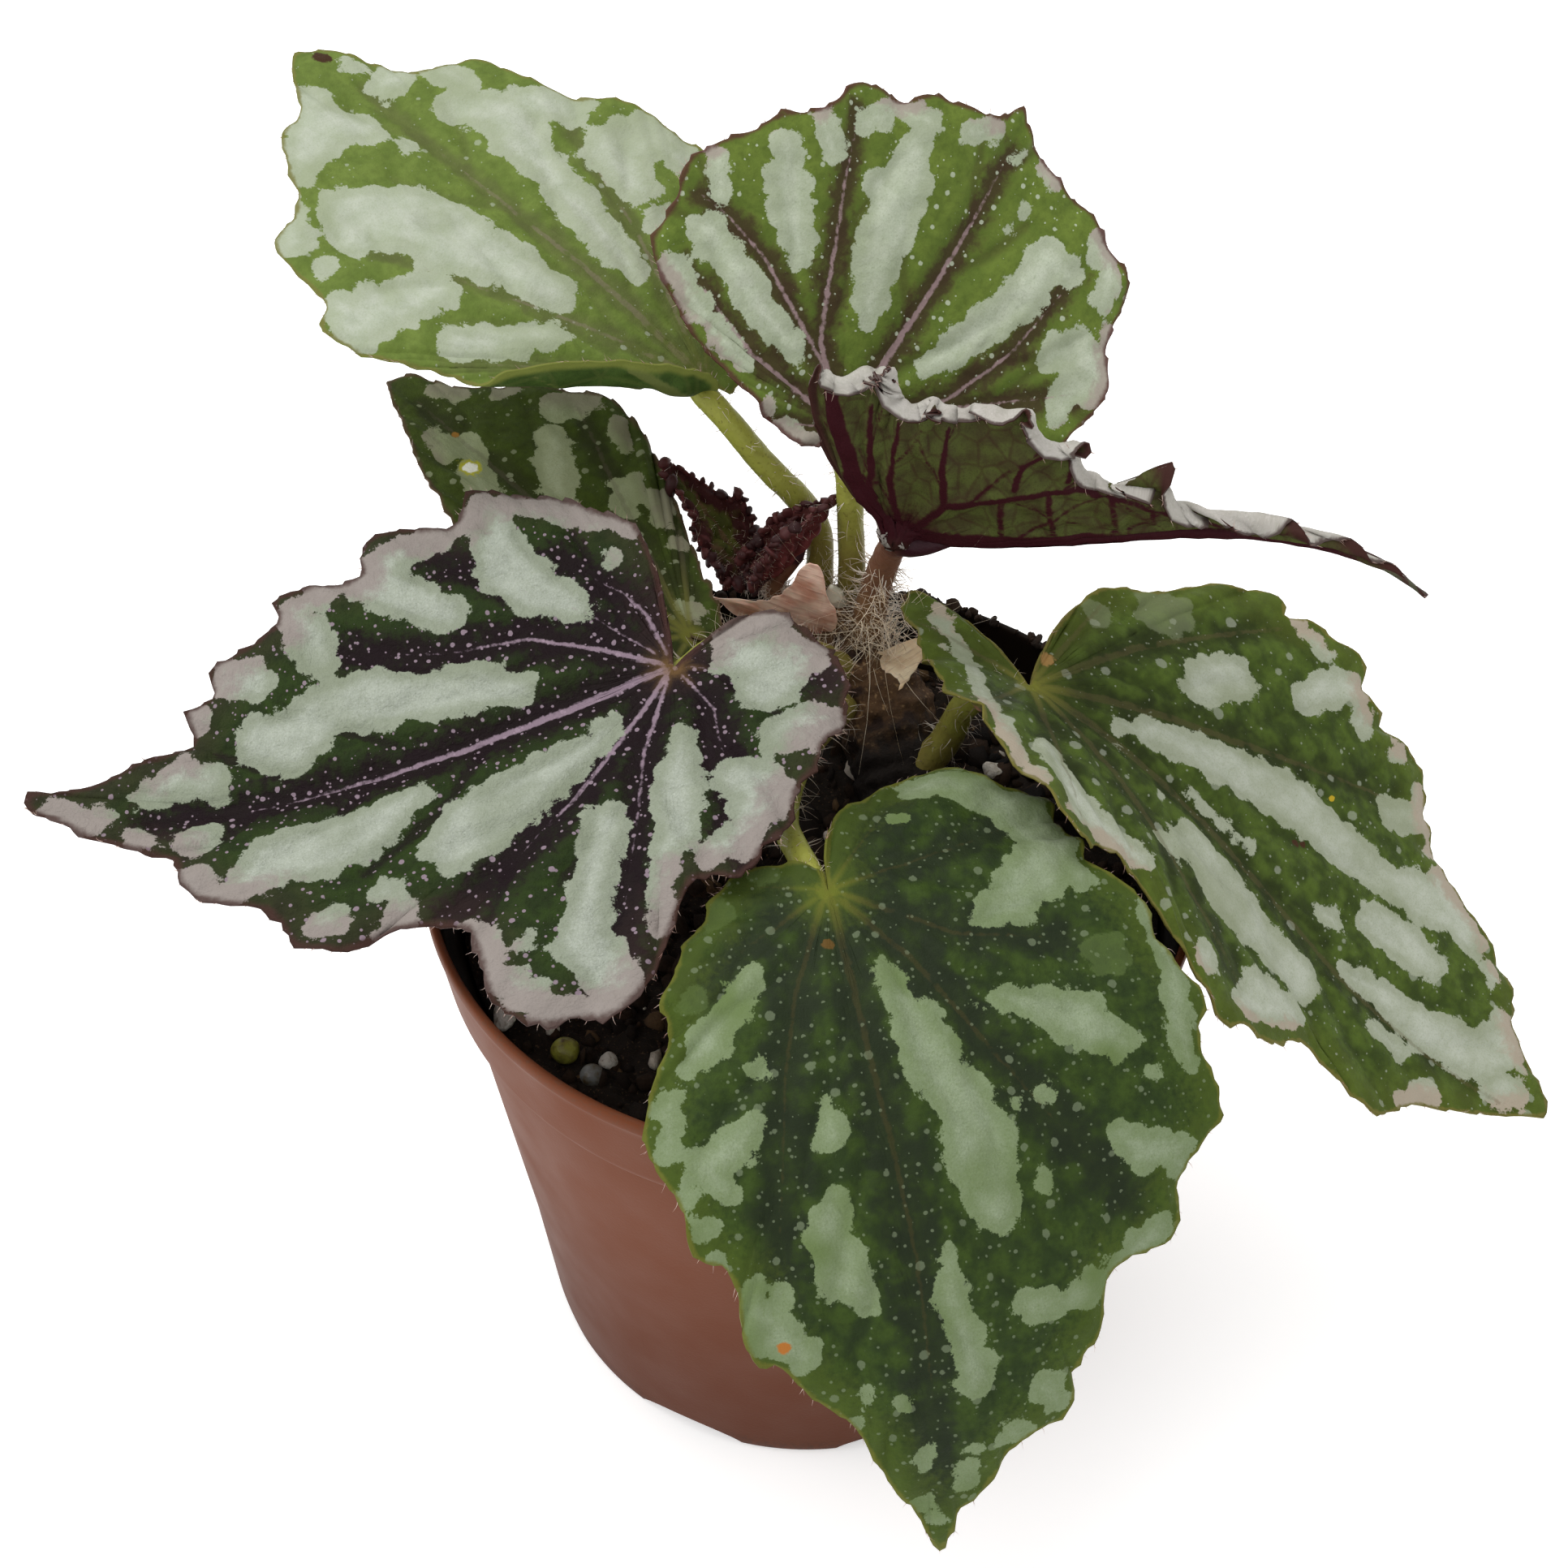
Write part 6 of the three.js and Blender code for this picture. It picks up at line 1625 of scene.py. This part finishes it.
# %% Left rear leaf
LEFT_REAR = dict(
    at=(-17.2, 23.7, 107), heading=(140, 136, 134), pitch=(13, 9, 4), roll=(0, 0), fold=((4, 8), (4, 8)),
    curl=(-0.3, -0.2), length=62.8, wave=(0.6, 9),
    stalk=[(-0.5, 35, 96), (-6, 33, 97.6), (-12.4, 28.4, 102.6), (-17.2, 23.7, 107)], stalk_radius=(1.8, 1.5),
    quilt=0.6, teeth=(4.0, 0.72),
    outline=[
        (-160, 3), (-110, 5), (-80, 7), (-65, 9), (-48, 15), (-39, 25), (-33, 36), (-27, 45), (-21, 48),
        (-15, 51), (-10, 55), (-5, 59), (0, 62.8), (4, 57), (9, 50), (14, 42), (19, 36), (28, 31), (45, 26),
        (66, 22), (90, 18), (118, 14), (145, 9), (168, 4)],
    veins=[
        [(0, 0, 0.6), (0, 30, 0.4), (0, 58, 0.1)], [(-24, 2, 0.5), (-22, 44, 0.1)],
        [(24, 2, 0.4), (24, 30, 0.1)], [(62, 2, 0.4), (62, 20, 0.1)], [(-42, 2, 0.4), (-40, 20, 0.1)],
        [(110, 2, 0.3), (110, 13, 0.1)]],
    silver=[
        [(-5, 57, 2.6)], [(-12, 52, 1.9)], [(-17, 46, 1.8), (-18, 44, 1.6)], [(-23, 45, 2.8)],
        [(-14, 40, 2.3), (-11, 35, 2.9), (-7, 31, 2.4)],
        [(3, 51, 1), (5, 46, 1.6), (0, 46, 2.1), (4, 41, 1.9), (8, 37, 2.3)],
        [(-28, 38, 1.4), (-29, 35, 1.1)], [(-25, 27, 2.2), (-22, 24, 1.7)], [(-34, 23, 2.2), (-34, 20, 1.1)],
        [(-40, 16, 0.9)], [(-46, 4, 1.4)], [(18, 30, 2.2), (30, 24, 2)], [(55, 16, 2.4)]])
LEFT_REAR_LOOK = dict(
    green=(62, 73, 29), green_two=(69, 83, 32), green_dark=(40, 46, 20), shade_colour=(46, 48, 28), shade=0.6,
    shade_width=2.5, branch=0.2, dots=0.5, dot_rate=0.3, silver=(160, 166, 134), silver_two=(168, 174, 144),
    silver_dark=(126, 134, 94), grow=0.3, mauve=(134, 130, 110), mauve_width=5.0, line_colour=(96, 84, 74),
    line=0.3, star_colour=(120, 120, 52), edge=(84, 66, 50),
    spots=[(4, 42, 2.0, (176, 172, 60)), (4, 42, 1.15, (240, 238, 226)), (0, 49, 0.7, (150, 108, 50))],
    back=(92, 96, 66), back_two=(96, 82, 62), back_dark=(74, 68, 50), back_vein=(104, 74, 60), web=0.3)
grow_leaf("leaf_left_rear", LEFT_REAR, LEFT_REAR_LOOK, 7)

# %% [markdown]
# ## The creeping stem
# The stem crawls over the soil: thick, brown, ringed where old leaves fell, and woolly at its growing end. It is
# a wide tube with rings and knobs pushed out of it. The wool is some five hundred long curled strands: most of
# them grow on the stem, and a hundred make a tuft beside it.

# %% Stem
STEM_PATH = [(13, 12, 79), (12.5, 19, 83), (10.5, 26, 88), (7.5, 32, 93), (3.5, 36, 97.5), (-4, 38.6, 101)]
STEM_RADII = [4.2, 6, 6.8, 6.4, 5.2, 3.4]
STEM_SIDES, STEM_STEPS, LEAF_SCARS = 64, 110, 6
stem = tube(STEM_PATH, STEM_RADII, sides=STEM_SIDES, steps=STEM_STEPS, uneven=0.0, seed=8)
surface = stem["surface"].reshape(-1, 3)
knobs = 0.55 * ripples(surface, 5.0, 81) + 0.3 * ripples(surface, 2.0, 82) + 0.14 * ripples(surface, 0.9, 83)
scars = 0.5 * np.sin(stem["share"][:-2] * 2 * np.pi * LEAF_SCARS) ** 2
stem["points"][:-2] += stem["spokes"].reshape(-1, 3) * (knobs + scars)[:, None]

bark_finish = Finish("brown_stem", roughness=0.7, specular=0.3)
bark_paint = bark_finish.mix(bark_finish.grain(0.5, 4, 0.6), paint(54, 36, 22), paint(112, 82, 52))
for flake, high, top in ((bark_finish.grain(1.4, 3), 0.7, paint(146, 116, 80)),
                         (bark_finish.grain(0.35, 2), 0.68, paint(46, 28, 18))):
    bark_paint = bark_finish.mix(bark_finish.step(flake, 0.55, high), bark_paint, top)
in_soil = bark_finish.add(bark_finish.stored("share"), bark_finish.grain(0.6, 3), 0.25)
bark_finish.colour(bark_finish.mix(bark_finish.step(in_soil, 0.62, 0.42), bark_paint, paint(26, 18, 12)))
bark_finish.bump(bark_finish.grain(1.8, 4, 0.7), 0.5)

bud_finish = Finish("white_bud", roughness=0.35)
bud_finish.colour(bud_finish.mix(bud_finish.grain(0.8, 2), paint(206, 202, 178), paint(228, 226, 210)))
bud_finish.glow(0.3, (0.002, 0.002, 0.0015))
bud = tube([(3.4, 37, 100), (2.6, 36, 104), (2.1, 35.2, 106.6)], [1.4, 1.5, 1.35, 0.3], steps=30, seed=9)
stem_sheets = [tube_sheet(stem, 0), tube_sheet(bud, 1)]
make_piece("creeping_stem", stem_sheets, [bark_finish, bud_finish], "rhizome")

# %% Wool
WOOL, WOOL_FROM, WOOL_TO = 460, 0.62, 0.98  # how many strands, between which shares of the stem's length
TUFT, TUFT_MIDDLE, TUFT_SPREAD = 100, (9.8, 30.2, 104), (1.9, 1.3, 3.4)
rng = np.random.default_rng(810)
i = (rng.uniform(WOOL_FROM, WOOL_TO, WOOL) * (STEM_STEPS - 1)).astype(int)
j = rng.integers(0, STEM_SIDES, WOOL)
roots, away = stem["surface"][i, j], stem["spokes"][i, j]
facing = away[:, 2] > -0.3
lean = away + rng.normal(0, 0.5, (WOOL, 3)) + (0, 0, 0.3)
wool = strands(roots[facing], lean[facing], rng.uniform(1.8, 4.4, WOOL)[facing], 0.07, 1.9, 811, segments=6)
tuft_spots = np.array(TUFT_MIDDLE) + rng.normal(0, TUFT_SPREAD, (TUFT, 3))
tuft_lean = rng.normal(0, 1, (TUFT, 3)) + (0.5, -0.5, 0.2)
tuft = strands(tuft_spots, tuft_lean, rng.uniform(3.4, 6.5, TUFT), 0.075, 2.2, 812, segments=6)
white_wool = hair_finish("white_wool", paint(214, 186, 148), paint(250, 234, 206))
make_piece("stem_wool", [wool, tuft], [white_wool])

# %% [markdown]
# ## Young leaves
# A leaf that has just opened is small and crumpled, with knobbly teeth. The left one is olive with a maroon edge,
# the right one maroon and still half folded. The same sheet maker serves, with a strong crumple and small sharp
# teeth, and little round lumps make the knobs.

# %% Young leaves
YOUNG_LOOK = dict(
    green=(80, 40, 38), green_two=(64, 32, 28), green_dark=(40, 21, 18), shade_colour=(58, 74, 34), shade=0.0,
    branch=0.0, dots=0.25, dot_rate=0.9, silver=(120, 90, 92), silver_two=(130, 96, 96),
    silver_dark=(96, 66, 68), line_colour=(120, 70, 72), line=0.3, star_colour=(110, 96, 52), star=0.8,
    star_reach=3.0, edge=(86, 40, 40), edge_width=0.5, back=(92, 44, 44), back_two=(80, 38, 38),
    back_dark=(52, 26, 26), back_vein=(110, 56, 56), web_rate=0.6, bump=0.4)
YOUNG_GREEN_LOOK = dict(
    YOUNG_LOOK, green=(84, 88, 36), green_two=(66, 70, 30), green_dark=(50, 34, 22), outer=1.0,
    outer_colour=(58, 28, 28), outer_reach=(3.2, 1.2), star_colour=(60, 30, 28))
YOUNG_LEFT = dict(
    at=(-10.5, 42, 104.2), heading=(142, 142, 142), pitch=(44, 40, 30), roll=(0, 0), fold=((8, 8), (22, 22)),
    curl=(0, 1), length=17.5, wave=(0.4, 7), crumple=0.42, quilt=0.5, teeth=(2.4, 0.4), uneven=0.5,
    ruffle=0.5, rib=0.4, thickness=0.7, stalk=[(-4.6, 40, 100.6), (-7.8, 41.2, 102.2), (-10.5, 42, 104.2)],
    stalk_radius=(1.4, 1.2),
    outline=[
        (-160, 2.5), (-120, 2.6), (-90, 3), (-62, 4.6), (-50, 6.2), (-42, 8.4), (-34, 10), (-27, 9.8),
        (-20, 10.4), (-13, 12.2), (-6, 15.4), (0, 17.8), (6, 17.6), (12, 14.5), (26, 10), (50, 6.5),
        (90, 4.5), (130, 3.5), (160, 2.5)],
    veins=[
        [(0, 0, 0.4), (0, 15, 0.1)], [(-40, 1, 0.3), (-36, 12, 0.1)], [(40, 1, 0.3), (28, 8, 0.1)]])
YOUNG_RIGHT = dict(
    at=(-6.6, 37.3, 106), heading=(16, 14, 10), pitch=(50, 54, 58), roll=(0, 0), fold=((50, 50), (50, 50)),
    curl=(1, 1), length=15, wave=(0.2, 5), crumple=0.4, quilt=0.4, teeth=(1.8, 0.3), uneven=0.4, ruffle=0.35,
    rib=0.5, thickness=0.7, stalk=[(-4, 37, 101.2), (-5.9, 36.9, 103.4), (-6.6, 37.3, 106)],
    stalk_radius=(1.1, 1.1),
    outline=[
        (-140, 2.5), (-110, 4), (-85, 5.6), (-58, 7.6), (-40, 10.6), (-27, 13.4), (-12, 14.8), (0, 15),
        (14, 12), (30, 9), (55, 6), (85, 5), (110, 4), (140, 2.5)],
    veins=[
        [(0, 0, 0.4), (0, 13, 0.1)], [(-45, 1, 0.3), (-35, 7, 0.1)], [(45, 1, 0.3), (35, 7, 0.1)]])
print("young leaves are", YOUNG_LEFT["length"], "and", YOUNG_RIGHT["length"], "mm long")

# %% Grow the young leaves
KNOBS_ON_FACE, FUZZ = 70, 420
knob_finish = Finish("young_knobs", roughness=0.5, specular=0.2)
knob_finish.colour(knob_finish.mix(knob_finish.stored("tone"), paint(44, 20, 21), paint(80, 38, 37)))
for name, leaf, look, seed, edge_only in (("young_leaf_left", YOUNG_LEFT, YOUNG_GREEN_LOOK, 14, True),
                                          ("young_leaf_right", YOUNG_RIGHT, YOUNG_LOOK, 15, False)):
    made = grow_leaf(name, leaf, look, seed, BROWN_STALK, bristles=160, spokes=220, rings=36)
    rng = np.random.default_rng(seed + 900)
    a, b = made["middle"].shape[:2]
    on_edge = np.arange(3, a - 3, 5)
    i, j = rng.integers(4, a - 4, KNOBS_ON_FACE), rng.integers(12, b, KNOBS_ON_FACE)
    knob_spots = np.concatenate([made["edge"][on_edge], made["middle"][i, j]])
    knob_sizes = np.concatenate([rng.uniform(0.5, 0.95, len(on_edge)), rng.uniform(0.3, 0.7, KNOBS_ON_FACE)])
    if edge_only:
        knob_spots, knob_sizes = knob_spots[:len(on_edge)], knob_sizes[:len(on_edge)]
    knobs = lumps(knob_spots, knob_sizes, seed + 40, stretch=0.25)
    make_piece(name + "_knobs", [knobs], [knob_finish])
    i, j = rng.integers(0, a, FUZZ), rng.integers(4, b, FUZZ)
    side = np.where(rng.random(FUZZ) < 0.5, 1, -1)[:, None]
    lean = made["normals"][i, j] * side + rng.normal(0, 0.5, (FUZZ, 3))
    fuzz = strands(made["middle"][i, j], lean, rng.uniform(0.6, 1.6, FUZZ), 0.04, 0.5, seed + 901)
    make_piece(name + "_fuzz", [fuzz], [pale_hair])

# %% [markdown]
# ## Stipules
# A stipule is the papery scale that wrapped a leaf while it was a bud. The pink one is fresh and lets light
# through, and the pale one is dry and straw-coloured. Both are thin sheets with fine lines along them.

# %% Stipules


def scale_finish(name, light, dark, line):
    finish = Finish(name, roughness=0.4)
    streak = finish.node("Mapping", {"Vector": finish.place(), "Scale": (0.25, 2.6, 1.0)})
    lines = finish.grain(0.8, 3, 0.6, streak)
    body = finish.mix(finish.step(finish.grain(0.3, 2), 0.35, 0.7), light, dark)
    finish.colour(finish.coat(body, finish.step(lines, 0.5, 0.7), 0.5, line))
    finish.bump(lines, 0.15)
    finish.shader.inputs["Transmission Weight"].default_value = 0.1
    finish.glow(0.3, (0.003, 0.0015, 0.001))
    return finish


PAPER = {
    "fold": ((0, 0), (0, 0)), "wave": (0, 1), "thickness": 0.3, "quilt": 0, "rib": 0, "ruffle": 0.15,
    "teeth": (9, 0.0), "uneven": 0.2, "veins": []}
PINK_SCALE = dict(
    PAPER, at=(0.4, 32, 101), heading=(168, 168, 162), pitch=(14, 12, 6), roll=(72, 72), curl=(2, 2), length=14.5,
    outline=[
        (-150, 1.4), (-90, 1.6), (-60, 2.2), (-30, 4.2), (-22, 9.5), (-16, 13), (-5, 14.6), (4, 14.4),
        (8, 11.3), (16, 9.4), (30, 8.7), (45, 8.9), (58, 10.4), (68, 12.8), (74, 13.6), (80, 11.8), (86, 8.5),
        (102, 6.3), (121, 4.1), (150, 2)])
PALE_SCALE = dict(
    PAPER, at=(8.6, 28.4, 97), heading=(20, 22, 26), pitch=(26, 24, 20), roll=(30, 30), curl=(3, 3), length=8.6,
    outline=[
        (-150, 2), (-95, 4.4), (-50, 5), (-20, 6.6), (0, 8.6), (16, 5), (50, 2.6), (95, 2), (150, 1.6)])
PINK_PAPER = scale_finish("pink_scale", paint(246, 212, 192), paint(206, 146, 124), paint(164, 100, 82))
STRAW_PAPER = scale_finish("straw_scale", paint(250, 232, 196), paint(220, 188, 144), paint(156, 114, 76))
for name, leaf, seed, finish in (("stipule_pink", PINK_SCALE, 16, PINK_PAPER),
                                 ("stipule_pale", PALE_SCALE, 17, STRAW_PAPER)):
    make_piece(name + "_paper", [blade(leaf, seed, 120, 26)["sheet"]], [finish], name)
